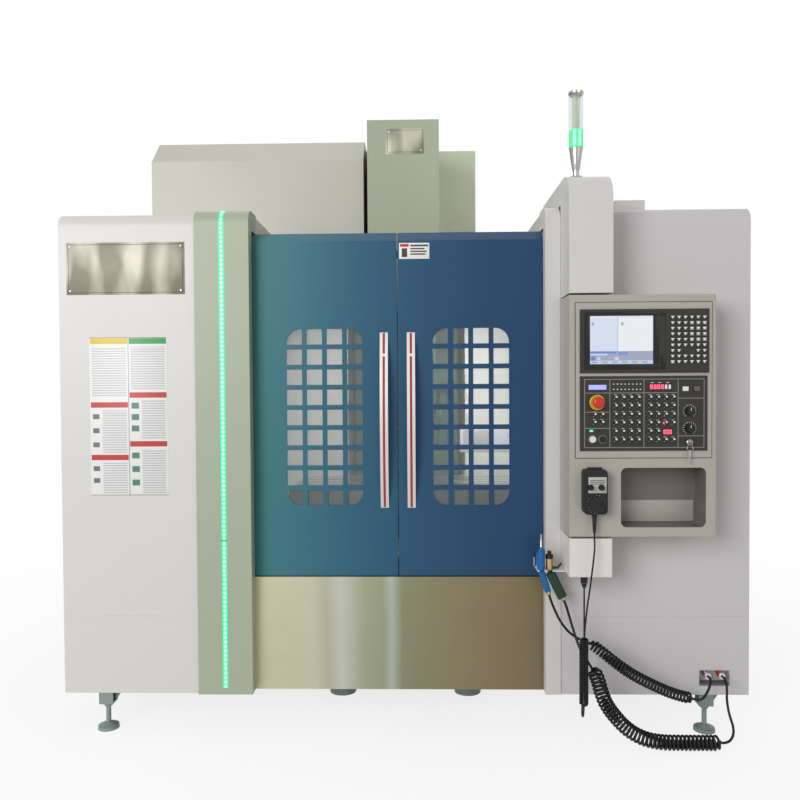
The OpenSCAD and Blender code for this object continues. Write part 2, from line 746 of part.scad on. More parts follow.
// Saddle: runs on the bed's rails and carries the table's rails
module saddle() color(green) at_front() {
  x = saddle_l / 2;
  difference() {
    block([-x, spindle_y - saddle_w / 2, saddle_z0], [x, spindle_y + saddle_w / 2, saddle_top]);
    for (s = [-1, 1]) block([s * (x - 90) - 90 - eps, spindle_y - saddle_w / 2 + 40, saddle_z0 - eps],
      [s * (x - 90) + 90 + eps, spindle_y + saddle_w / 2 - 40, saddle_z0 + 90]);
    block([-x - eps, spindle_y - 60, saddle_top - 60], [x + eps, spindle_y + 60, saddle_top + eps]);
  }
  for (s = [-1, 1]) {
    for (y = [-1, 1]) difference() {
      block([s * rail_x - 45, spindle_y + y * 150 - 55, casting_top + 4],
        [s * rail_x + 45, spindle_y + y * 150 + 55, saddle_z0]);
      block([s * rail_x - rail_w / 2 - slide_fit, 0, 0],
        [s * rail_x + rail_w / 2 + slide_fit, depth, casting_top + rail_h + slide_fit]);
    }
    block([-x, spindle_y + s * rail_y - rail_w / 2, saddle_top],
      [x, spindle_y + s * rail_y + rail_w / 2, saddle_top + rail_h]);
  }
  block([-50, spindle_y - 60, casting_top - 60], [50, spindle_y + 60, saddle_z0]);
}

// Table with T-slots, coolant gutter and skirts over its rails
module table() color(steel) at_front() {
  x = table_l / 2;
  difference() {
    block([-x, spindle_y - table_w / 2, table_z - table_t + 30], [x, spindle_y + table_w / 2, table_z]);
    for (i = [0:slots - 1]) {
      y = spindle_y + (i - (slots - 1) / 2) * slot_pitch;
      block([-x - eps, y - slot_w / 2, table_z - 30], [x + eps, y + slot_w / 2, table_z + eps]);
      block([-x - eps, y - slot_w * 0.85, table_z - 42], [x + eps, y + slot_w * 0.85, table_z - 22]);
    }
  }
  for (s = [-1, 1]) {
    block([-x, spindle_y + s * (table_w / 2 - 10) - 10, table_z - table_t - 20],
      [x, spindle_y + s * (table_w / 2 - 10) + 10, table_z - table_t + 30]);
    for (k = [-1, 1]) difference() {
      block([k * 260 - 70, spindle_y + s * rail_y - 42, saddle_top + 4],
        [k * 260 + 70, spindle_y + s * rail_y + 42, table_z - table_t + 30]);
      block([-x, spindle_y + s * rail_y - rail_w / 2 - slide_fit, 0],
        [x, spindle_y + s * rail_y + rail_w / 2 + slide_fit, saddle_top + rail_h + slide_fit]);
    }
  }
}

// Head casting with its slide blocks and the spindle's housing
module spindle_head() color(green) at_front() {
  difference() {
    union() {
      along_x(-head_w / 2, head_w / 2) polygon([[head_front, head_z0], [spindle_y + 100, head_z0],
        [carriage_y - carriage_t, head_z0 + 110], [carriage_y - carriage_t, head_z1 + 60],
        [spindle_y + 190, head_z1 + 60], [spindle_y + 160, head_z1], [head_front, head_z1]]);
      block([-column_rail_x - 55, carriage_y - carriage_t, head_z0 + 90],
        [column_rail_x + 55, carriage_y, head_z1 + 60]);
      translate([0, spindle_y, nose_z + 50]) cylinder(h = head_z0 - nose_z - 49, d = head_w * 1.2, $fn = 96);
      translate([0, spindle_y, nose_z + 15]) cylinder(h = 36, d = nose_d + 80, $fn = 96);
    }
    translate([0, spindle_y, nose_z - eps])
      cylinder(h = head_z1 - nose_z - 99, d = nose_d + 2 * run_fit, $fn = 96);
  }
  for (s = [-1, 1], k = [0, 1]) difference() {
    block([s * column_rail_x - 42, carriage_y, head_z0 + 110 + k * 320],
      [s * column_rail_x + 42, column_y - 4, head_z0 + 250 + k * 320]);
    block([s * column_rail_x - rail_w / 2 - slide_fit, column_y - rail_h - slide_fit, 0],
      [s * column_rail_x + rail_w / 2 + slide_fit, column_y, column_z]);
  }
  block([-45, carriage_y, head_z0 + 200], [45, column_y + 70, head_z0 + 320]);
}

// Spindle with its taper and two drive keys
module spindle() color(steel) at_front() translate([0, spindle_y, nose_z]) difference() {
  union() {
    cylinder(h = head_z1 - nose_z - 102, d = nose_d, $fn = 96);
    for (s = [-1, 1]) block([s * 31 - 8, -7.9, -6], [s * 31 + 8, 7.9, 1]);
  }
  translate([0, 0, -0.01]) cylinder(h = 65, d1 = taper_d, d2 = taper_d - 65 * 7 / 24, $fn = 96);
  cylinder(h = 90, d = 17, $fn = 48);
}

// Spindle motor with its flange and fan cowl
module spindle_motor() color(dark) at_front() translate([0, spindle_y, head_z1]) {
  s = drive_w / 2;
  difference() {
    block([-s, -s, 24], [s, s, drive_l]);
    for (a = [0:3], i = [-3:3]) rotate([0, 0, a * 90])
      block([i * s / 4 - 4, s - 8, 40], [i * s / 4 + 4, s + eps, drive_l - 40]);
  }
  cylinder(h = 24, d = drive_w - 12, $fn = 96);
  translate([0, 0, drive_l]) cylinder(h = 50, d = drive_w - 20, $fn = 96);
}

// Cover over the spindle motor, open below, on two brackets at the head's sides
module head_cover() color(sage) at_front() {
  x = hat_w / 2;
  y0 = head_front - 60;
  y1 = crown_front - cover_gap;
  difference() {
    block([-x, y0, head_z1 - 60], [x, y1, hat_z]);
    block([-x + sheet, y0 + sheet, head_z1 - 60 - eps], [x - sheet, y1 - sheet, hat_z - sheet]);
    block([-head_w / 2 - seat, y1 - 2 * sheet, head_z1 - 60 - eps],
      [head_w / 2 + seat, y1 + eps, head_z1 + 60 + seat]);
  }
  for (s = [0, 1]) mirror([s, 0, 0])
    block([head_w / 2, spindle_y - 40, head_z1 - 50], [x - sheet / 2, spindle_y + 40, head_z1 - 10]);
}

// Cover round the top of the column, behind the head
module column_cover() color(sage) at_front() {
  x = casting_w / 2 + 62;
  y0 = crown_front;
  difference() {
    block([-x, y0, roof_z], [x, house_d - sheet, crown_z]);
    block([-x + sheet, y0 + sheet, roof_z - eps], [x - sheet, house_d - 2 * sheet, crown_z - sheet]);
    block([-hat_w / 2 - 18, y0 - eps, roof_z - eps], [hat_w / 2 + 18, y0 + sheet + eps, crown_z - 20]);
  }
}

// Hood over the tool magazine, with its bevelled front edge
module magazine_hood() color(white) at_front() difference() {
  y0 = spindle_y - 100;
  y1 = column_y - 120;
  x0 = -half + 128;
  x1 = -hat_w / 2 - 22;
  along_x(x0, x1) hood_section(y0, y1, 0);
  along_x(x0 + sheet, x1 - sheet) hood_section(y0, y1, sheet);
}

// Outline of the hood, shrunk by a wall
module hood_section(y0, y1, t) {
  polygon([[y0 + t, roof_z - (t > 0 ? eps : 0)], [y0 + t, hood_z - hood_bevel - t * 0.4],
    [y0 + hood_bevel + t * 0.4, hood_z - t], [y1 - t, hood_z - t], [y1 - t, roof_z - (t > 0 ? eps : 0)]]);
}

// Disc of the tool magazine with pockets round its rim
module tool_magazine() color(steel) at_front() translate([magazine_x, magazine_y, magazine_z]) {
  difference() {
    union() {
      cylinder(h = 30, d = disc_d - 60, $fn = 96);
      for (i = [0:pockets - 1]) rotate([0, 0, i * 360 / pockets])
        translate([disc_d / 2 - 30, 0, -40]) cylinder(h = 80, d = 54, $fn = 32);
    }
    for (i = [0:pockets - 1]) rotate([0, 0, i * 360 / pockets])
      translate([disc_d / 2 - 30, 0, -41]) cylinder(h = 70, d = 38, $fn = 32);
    translate([0, 0, -50]) cylinder(h = 200, d = shaft_d + 2 * run_fit, $fn = 64);
  }
}

// Shaft of the tool magazine, flanged to the hood's roof, with a collar under the disc
module magazine_shaft() color(dark) at_front() translate([magazine_x, magazine_y, 0]) {
  translate([0, 0, magazine_z - 60]) cylinder(h = hood_z - sheet - magazine_z + 60, d = shaft_d, $fn = 64);
  translate([0, 0, magazine_z - 60]) cylinder(h = 60 - run_fit, d = shaft_d * 1.5, $fn = 64);
  translate([0, 0, hood_z - sheet - 12]) cylinder(h = 12, d = shaft_d * 2.5, $fn = 64);
}

// Servo motors that drive the saddle and the head
module feed_motors() color(black) at_front() {
  block([-motor_w / 2, sill_d + 12, casting_top - 25 - motor_w / 2],
    [motor_w / 2, sill_d + 160, casting_top - 25 + motor_w / 2]);
  block([-motor_w / 2, column_y + 35 - motor_w / 2, column_z],
    [motor_w / 2, column_y + 35 + motor_w / 2, column_z + 190]);
}

// One section of the telescopic cover in front of the saddle, counted from the front wall
module way_cover(i) {
  y = sill_d + (i - 1) * cover_step;
  w = cover_w - (i - 1) * 2 * cover_nest;
  z = cover_z - (i - 1) * cover_nest;
  color(steel) at_front() {
    difference() {
      along_y(y, y + cover_l) cover_outline(w, z, 0);
      along_y(y - eps, y + cover_l + eps) cover_outline(w, z, cover_t);
    }
    if (i == cover_n) block([-w / 2 + 30, y + cover_l - cover_t, z - 24],
      [w / 2 - 30, y + cover_l, z - cover_t]);
  }
}

// Roof-shaped outline of a cover section, shrunk by a wall
module cover_outline(w, z, t) {
  x = w / 2 - t;
  low = t > 0 ? eps : 0;
  polygon([[-x, z - cover_h - low], [-x, z - 14 - t * 0.4], [-x + 30, z - t], [x - 30, z - t],
    [x, z - 14 - t * 0.4], [x, z - cover_h - low]]);
}

module way_cover_1() way_cover(1);
module way_cover_2() way_cover(2);
module way_cover_3() way_cover(3);
module way_cover_4() way_cover(4);
module way_cover_5() way_cover(5);

// Upper part of the pillar that the control box hangs in
module upper_pillar() color(white) at_front() {
  z0 = box_z + box_h + box_gap;
  back = 370;
  difference() {
    along_x(box_x, pillar_x1) difference() {
      brow_fill(-box_front, z0, pillar_z, pillar_r, back);
      translate([0, 0]) square([back + eps, roof_z + brow_up]);
    }
    along_x(box_x + sheet, pillar_x1 - sheet)
      brow_fill(-box_front + sheet, z0 + 2 * sheet, pillar_z - sheet, pillar_r - sheet, -sheet);
    translate([pivot_x, pivot_y, z0 - eps]) cylinder(h = 20, d = pivot_d, $fn = 64);
  }
}

// Lower part of the pillar with its hook shelf for the spray guns
module lower_pillar() color(white) at_front() {
  z1 = box_z - box_gap;
  z0 = z1 - pillar_low_h;
  difference() {
    block([box_x, -box_front, z0], [pillar_x1 - 4, 0, z1]);
    block([box_x + sheet, -box_front + sheet, z0 + sheet], [pillar_x1 - 4 - sheet, -sheet, z1 - 21]);
    translate([pivot_x, pivot_y, z1 - 20]) cylinder(h = 21, d = pivot_d, $fn = 64);
  }
  difference() {
    block([478, -100, 620], [box_x, -frame_proud, 623]);
    for (x = gun_x) block([x - gun_neck / 2 - 1.5, -101, 619], [x + gun_neck / 2 + 1.5, gun_y + 14, 624]);
  }
  block([478, -frame_proud - 3, 623], [box_x, -frame_proud, 650]);
}

// Post that the control box swings on
module pivot_post() color(steel) at_front() translate([pivot_x, pivot_y, box_z - box_gap - 9])
  cylinder(h = box_h + 2 * box_gap + 18, d = pivot_d, $fn = 64);

// Plan of the control box: the corner behind the pivot is rounded about it
module box_plan(t) {
  x0 = box_x + t;
  x1 = box_x + box_w - t;
  y0 = -box_front + t;
  translate([x0, y0]) square([x1 - x0, box_d - t - pivot_in]);
  translate([pivot_x, y0]) square([x1 - pivot_x, box_d - 2 * t]);
  translate([pivot_x, pivot_y]) circle(pivot_in - t, $fn = 96);
}

// Control box: folded shell, raised surround, openings and storage pocket
module control_box() color(grey_beige) at_front() difference() {
  union() {
    difference() {
      translate([0, 0, box_z]) linear_extrude(box_h) box_plan(0);
      translate([0, 0, box_z + sheet]) linear_extrude(box_h - 2 * sheet) box_plan(sheet);
    }
    block([box_x + 21, -box_front - 2, ops_z0 - 24],
      [box_x + box_w - 15, -box_front, screen_z0 + screen_h + 23]);
    translate([pivot_x, pivot_y, box_z]) cylinder(h = box_h, d = pivot_d + 12, $fn = 64);
    pocket_block(pocket_w + 2 * sheet, pocket_h + 2 * sheet, pocket_r + sheet, pocket_d);
  }
  translate([pivot_x, pivot_y, box_z - eps])
    cylinder(h = box_h + 2 * eps, d = pivot_d + 2 * run_fit, $fn = 64);
  pocket_block(pocket_w, pocket_h, pocket_r, pocket_d - sheet);
  block([panel_x0 + 6, -box_front - 3, screen_z0 + 6],
    [panel_x0 + screen_w - 6, -box_front + sheet + 1, screen_z0 + screen_h - 6]);
  block([panel_x0 + 6, -box_front - 3, ops_z0 + 6],
    [panel_x0 + ops_w - 6, -box_front + sheet + 1, ops_z0 + ops_h - 6]);
}

// Block with rounded corners at the storage pocket, running back from the box's face
module pocket_block(w, h, r, d) {
  along_y(-box_front - (r == pocket_r ? eps : 0), -box_front + d)
    translate([pocket_x + pocket_w / 2, pocket_z + pocket_h / 2]) round_rect(w, h, r);
}

// Screen and keyboard unit
module screen_unit() color(black) at_front() {
  y0 = -box_front - 2 - face_t;
  y1 = -box_front - 2;
  difference() {
    union() {
      block([panel_x0, y0, screen_z0], [panel_x0 + screen_w, y1, screen_z0 + screen_h]);
      block([panel_x0 + 8, y1, screen_z0 + 8],
        [panel_x0 + screen_w - 8, -box_front + 70, screen_z0 + screen_h - 8]);
    }
    block([panel_x0 + 34, y0 - eps, screen_z0 + 31], [panel_x0 + 248, y0 + 2, screen_z0 + 195]);
    block([panel_x0 + 273, y0 - eps, screen_z0 + 66], [panel_x0 + 290, y0 + 2, screen_z0 + 195]);
  }
  for (i = [0:5], j = [0:8]) if (j != 6 || i < 2 || i > 3)
    block([panel_x0 + 306 + i * 21.6, y0 - 2, screen_z0 + 31 + (8 - j) * 18.9],
      [panel_x0 + 321 + i * 21.6, y0, screen_z0 + 44 + (8 - j) * 18.9]);
}

// Operator panel with its button field
module operator_panel() color(dark) at_front() {
  y0 = -box_front - 2 - face_t;
  y1 = -box_front - 2;
  difference() {
    union() {
      block([panel_x0, y0, ops_z0], [panel_x0 + ops_w, y1, ops_z0 + ops_h]);
      block([panel_x0 + 8, y1, ops_z0 + 8], [panel_x0 + ops_w - 8, -box_front + 50, ops_z0 + ops_h - 8]);
    }
    block([panel_x0 + 28, y0 - eps, ops_z0 + 208], [panel_x0 + 92, y0 + 2, ops_z0 + 228]);
    rod_y(estop_x, estop_z, 16 + 2 * run_fit, y0 - eps, -box_front + 40);
    rod_y(knob_x, feed_z, 6 + 2 * run_fit, y0 - eps, -box_front + 40);
    rod_y(knob_x, speed_z, 6 + 2 * run_fit, y0 - eps, -box_front + 40);
    rod_y(start_x, start_z, start_d - 6 + 2 * run_fit, y0 - eps, -box_front + 40);
  }
  for (i = [0:3], j = [0:5], m = [0, 1]) if (m == 0 || j != 1 || i < 2)
    block([panel_x0 + 114 + m * 118 + i * 26, y0 - 3, ops_z0 + 30 + j * 29],
      [panel_x0 + 128 + m * 118 + i * 26, y0, ops_z0 + 44 + j * 29]);
  for (i = [0, 1]) block([panel_x0 + 346 + i * 39, y0 - 3, ops_z0 + 203],
    [panel_x0 + 368 + i * 39, y0, ops_z0 + 220]);
  for (i = [0, 1], j = [0, 1]) block([panel_x0 + 43 + i * 26, y0 - 3, ops_z0 + 90 + j * 27],
    [panel_x0 + 57 + i * 26, y0, ops_z0 + 104 + j * 27]);
  rod_y(panel_x0 + 77, start_z, start_d, y0 - 6, y0);
  difference() {
    rod_y(estop_x, estop_z, estop_d + 12, y0 - 3, y0);
    rod_y(estop_x, estop_z, 16 + 2 * run_fit, y0 - 4, y0 + eps);
  }
}

// Mushroom cap of the emergency stop on its stem
module estop() color([0.75, 0.1, 0.1]) at_front() {
  y0 = -box_front - 2 - face_t;
  rod_y(estop_x, estop_z, 16, y0 - 10, -box_front + 30);
  translate([estop_x, y0 - 22, estop_z]) rotate([-90, 0, 0]) {
    cylinder(h = 5, d1 = estop_d - 8, d2 = estop_d, $fn = 64);
    translate([0, 0, 5]) cylinder(h = 7, d = estop_d, $fn = 64);
  }
}

// Pointer knob on its shaft
module knob(x, z, d, y0, shaft) {
  difference() {
    union() {
      rod_y(x, z, d, y0 - 5, y0 - seat);
      rod_y(x, z, d * 0.78, y0 - 16, y0 - 5);
      rod_y(x, z, 6, y0 - seat, y0 + shaft);
    }
    block([x - 1, y0 - 17, z + d * 0.1], [x + 1, y0 - 15, z + d * 0.5]);
  }
}

module feed_knob() color(black) at_front() knob(knob_x, feed_z, knob_d, -box_front - 2 - face_t, 30);
module spindle_knob() color(black) at_front() knob(knob_x, speed_z, knob_d, -box_front - 2 - face_t, 30);

// Illuminated start button
module start_button() color([0.9, 0.9, 0.88]) at_front() {
  y0 = -box_front - 2 - face_t;
  rod_y(start_x, start_z, start_d, y0 - 9, y0 - 4);
  rod_y(start_x, start_z, start_d - 6, y0 - 4, -box_front + 30);
}

// Hand pendant hanging on its hook plate, with the strain relief of its lead
module pendant() color(black) at_front() {
  difference() {
    union() {
      along_y(pendant_face, pendant_y) translate([pendant_x, pendant_z + pendant_h / 2])
        round_rect(pendant_w, pendant_h, 14);
      block([pendant_x - 24, pendant_y - 30, pendant_z + pendant_h],
        [pendant_x + 24, pendant_y - 18, pendant_z + pendant_h + 6]);
      block([pendant_x - 20, pendant_y, pendant_z + 60], [pendant_x + 20, -box_front, pendant_z + 120]);
    }
    rod_y(wheel_x, wheel_z, 10 + 2 * run_fit, pendant_face - eps, pendant_face + 24);
    for (s = [-1, 1])
      rod_y(pendant_x + s * 18, knobs_z, 6 + 2 * run_fit, pendant_face - eps, pendant_face + 20);
  }
  translate([pendant_x, pendant_y - 20, pendant_z - relief_l])
    cylinder(h = relief_l, d1 = lead_d + 4, d2 = relief_d, $fn = 48);
}

// Hand wheel with its spinner grip
module hand_wheel() color(black) at_front() {
  rod_y(wheel_x, wheel_z, 10, pendant_face - seat, pendant_face + 22);
  rod_y(wheel_x, wheel_z, wheel_d, pendant_face - wheel_h, pendant_face - seat);
  rod_y(wheel_x + wheel_d * 0.3, wheel_z, 11, pendant_face - wheel_h - wheel_grip, pendant_face - wheel_h);
}

module axis_knob() color(black) at_front() knob(pendant_x - 18, knobs_z, selector_d, pendant_face, 18);
module step_knob() color(black) at_front() knob(pendant_x + 18, knobs_z, selector_d, pendant_face, 18);

// Signal tower: foot, flared stem, tube with its lit section and cap
module signal_tower() color([0.8, 0.82, 0.8]) at_front() translate([box_x + 60, 20, pillar_z]) {
  d = tower_d;
  cylinder(h = 24, d = d, $fn = 64);
  translate([0, 0, 24]) cylinder(h = 18, d = d * 0.4, $fn = 64);
  translate([0, 0, 42]) cylinder(h = 85, d1 = d * 0.4, d2 = d, $fn = 64);
  translate([0, 0, 127]) cylinder(h = tower_h - 145, d = d - 1, $fn = 64);
  translate([0, 0, tower_h - 18]) cylinder(h = 18, d = d + 1, $fn = 64);
}

// Part of a gun below its neck, leaning to the right, its top's corner level with the neck's middle
module gun_handle(w, d, l, lean) rotate([0, -lean, 0]) {
  translate([0, 0, -l]) linear_extrude(l - w / 2 * tan(lean)) round_rect(w, d, 8);
  translate([0, 0, -l - 12]) cylinder(h = 12, d = 14, $fn = 32);
}

// Air gun: slim handle, round body, thin nozzle tube and thumb lever
module air_gun() color([0.1, 0.35, 0.6]) at_front() translate([gun_x[0], gun_y, 618]) {
  gun_handle(22, 20, 78, air_lean);
  translate([0, 0, -8]) cylinder(h = 15, d = gun_neck, $fn = 32);
  translate([0, 0, 5]) cylinder(h = 71, d = 26, $fn = 48);
  translate([0, 0, 76]) cylinder(h = 10, d1 = 18, d2 = 9, $fn = 32);
  translate([0, 0, 86]) cylinder(h = 44, d = 7, $fn = 32);
  along_y(-5, 5) polygon([[-12, 14], [-20, 22], [-22, 46], [-16, 66], [-12, 66]]);
}

// Coolant gun: thick handle, brass body with a collar and trigger
module coolant_gun() color([0.2, 0.5, 0.3]) at_front() translate([gun_x[1], gun_y, 618]) {
  gun_handle(34, 26, 105, cool_lean);
  translate([0, 0, -14]) cylinder(h = 21, d = gun_neck, $fn = 32);
  translate([0, 0, 5]) cylinder(h = 40, d = 24, $fn = 48);
  translate([0, 0, 45]) cylinder(h = 14, d = 27, $fn = 48);
  translate([0, 0, 59]) cylinder(h = 12, d = 13, $fn = 32);
  along_y(-4, 4) polygon([[10, 8], [30, 8], [45, 25], [41, 29], [28, 15], [10, 16]]);
}

// Couplings of the two hoses in the right panel's outlet, and the pendant's plug
module hose_fittings() color(steel) at_front() {
  for (x = out_x) {
    rod_y(x, out_z, 16, -30, tube - sheet);
    rod_y(x, out_z, 23, -24, 6);
    rod_y(x, out_z, 19, 6, 18);
  }
  z0 = box_z - box_gap - pillar_low_h;
  translate([644, -86, z0 - 56]) cylinder(h = 18, d1 = 12, d2 = 22, $fn = 48);
  translate([644, -86, z0 - 38]) cylinder(h = 38, d = 24, $fn = 48);
}

// Pendant's lead, its coil, and the hoses of the two guns
module pendant_lead() color(black) at_front() sweep(lead_path, lead_d, 8);

module pendant_coil() color(black) at_front() {
  sweep(coil_path, coil_d, 10);
  sweep(tail_path, lead_d, 8);
}

module gun_hoses() color(black) at_front() {
  sweep(air_top, hose_d, 8);
  sweep(air_tail, hose_d, 8);
  sweep(cool_top, hose_d, 8);
  sweep(cool_tail, hose_d, 8);
}

module hose_coils() color(black) at_front() {
  sweep(air_coil, air_coil_d, 10);
  sweep(cool_coil, cool_coil_d, 10);
}

base_frame();
levelling_feet();
left_panel();
right_panel();
light_column();
light_strip();
frame_strip();
apron();
door_tracks();
left_door();
right_door();
left_pane();
right_pane();
left_handle();
right_handle();
left_housing();
right_housing();
rear_wall();
splash_guard();
chip_pan();
base_casting();
column();
saddle();
table();
spindle_head();
spindle();
spindle_motor();
head_cover();
column_cover();
magazine_hood();
magazine_shaft();
tool_magazine();
feed_motors();
way_cover_1();
way_cover_2();
way_cover_3();
way_cover_4();
way_cover_5();
upper_pillar();
lower_pillar();
pivot_post();
control_box();
screen_unit();
operator_panel();
estop();
feed_knob();
spindle_knob();
start_button();
pendant();
hand_wheel();
axis_knob();
step_knob();
signal_tower();
air_gun();
coolant_gun();
hose_fittings();
pendant_lead();
pendant_coil();
gun_hoses();
hose_coils();
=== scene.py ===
import json
import logging
import math
from dataclasses import dataclass, field
from enum import Enum
from functools import lru_cache
from typing import Callable, Optional, Sequence, Union

import bpy
from mathutils import Matrix, Vector


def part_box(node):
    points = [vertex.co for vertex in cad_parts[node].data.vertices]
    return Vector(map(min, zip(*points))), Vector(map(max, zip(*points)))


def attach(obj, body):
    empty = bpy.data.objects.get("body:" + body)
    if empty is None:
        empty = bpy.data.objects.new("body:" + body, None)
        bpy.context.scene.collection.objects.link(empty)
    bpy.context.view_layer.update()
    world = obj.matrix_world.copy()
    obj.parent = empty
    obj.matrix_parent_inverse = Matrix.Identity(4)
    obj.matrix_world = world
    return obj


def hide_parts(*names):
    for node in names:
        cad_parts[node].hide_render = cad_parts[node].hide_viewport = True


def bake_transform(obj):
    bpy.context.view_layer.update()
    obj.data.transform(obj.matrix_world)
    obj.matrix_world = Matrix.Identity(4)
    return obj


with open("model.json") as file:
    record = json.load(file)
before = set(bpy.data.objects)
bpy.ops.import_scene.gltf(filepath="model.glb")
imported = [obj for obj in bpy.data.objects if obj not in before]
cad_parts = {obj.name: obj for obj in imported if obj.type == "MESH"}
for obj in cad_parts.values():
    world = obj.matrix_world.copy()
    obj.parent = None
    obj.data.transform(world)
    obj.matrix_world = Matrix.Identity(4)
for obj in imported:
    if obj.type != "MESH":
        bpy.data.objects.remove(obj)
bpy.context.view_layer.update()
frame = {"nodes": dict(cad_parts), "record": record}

log = logging.getLogger("machining_centre")

# Sizes are in millimetres, and depths are counted from the plane of the front panels.
FRONT_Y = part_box("left_panel")[0].y
UP = Vector((0, 0, 1))
OUT = Vector((0, -1, 0))
SMOOTH_BELOW = math.radians(35)
WHITE = (1.0, 1.0, 1.0)
Piece = bpy.types.Object


def mm(value: float) -> float:
    """Millimetres in metres."""
    return value / 1000.0


def at(x: float, d: float, z: float) -> Vector:
    """A point in the row frame, from mm to the right, behind the front panels' plane and over the floor."""
    return Vector((mm(x), FRONT_Y + mm(d), mm(z)))


def near(place: Vector, x: float, d: float, z: float) -> Vector:
    """A point so many mm across, deeper and up from a place."""
    return place + Vector((mm(x), mm(d), mm(z)))


def toned(colour: Sequence[float], scale: float, lift: float = 0.0) -> tuple:
    """A colour scaled and lifted."""
    return tuple(min(1.0, c * scale + lift) for c in colour)


class Body(Enum):
    """The bodies that pieces ride on."""

    ENCLOSURE = "enclosure"
    RIGHT_DOOR = "right_door_leaf"
    CONTROL = "control"
    ESTOP = "estop_cap"
    FEED = "feed_override"
    SPEED = "spindle_override"
    WHEEL = "pulse_wheel"
    HEAD = "head"


def operator(operation: str) -> Callable[..., "Socket"]:
    """A method for Socket that adds one kind of Math node."""
    def method(socket: "Socket", *others: object) -> "Socket":
        """Adds the node on this value and the others."""
        return socket.math(operation, *others)
    return method


class Socket:
    """A shader socket or number whose arithmetic adds Math nodes."""

    __add__ = __radd__ = operator("ADD")
    __sub__ = operator("SUBTRACT")
    __mul__ = __rmul__ = operator("MULTIPLY")
    __truediv__ = operator("DIVIDE")
    __lt__ = operator("LESS_THAN")
    __gt__ = operator("GREATER_THAN")
    abs = operator("ABSOLUTE")
    fract = operator("FRACT")
    power = operator("POWER")

    def __init__(self, shader: "Shader", value: object) -> None:
        """Wraps a socket or a number of one shader."""
        self.shader = shader
        self.value = value

    def math(self, operation: str, *others: object) -> "Socket":
        """Adds a Math node on this value and the others."""
        inputs = [self.value] + [o.value if isinstance(o, Socket) else o for o in others]
        return self.shader.node("ShaderNodeMath", {"operation": operation}, dict(enumerate(inputs)))

    def __rsub__(self, other: float) -> "Socket":
        """Difference from a number."""
        return self.shader.node("ShaderNodeMath", {"operation": "ADD"}, {0: other, 1: 0.0}) - self

    def clamp(self) -> "Socket":
        """Held between 0 and 1."""
        return self.math("MINIMUM", 1.0).math("MAXIMUM", 0.0)


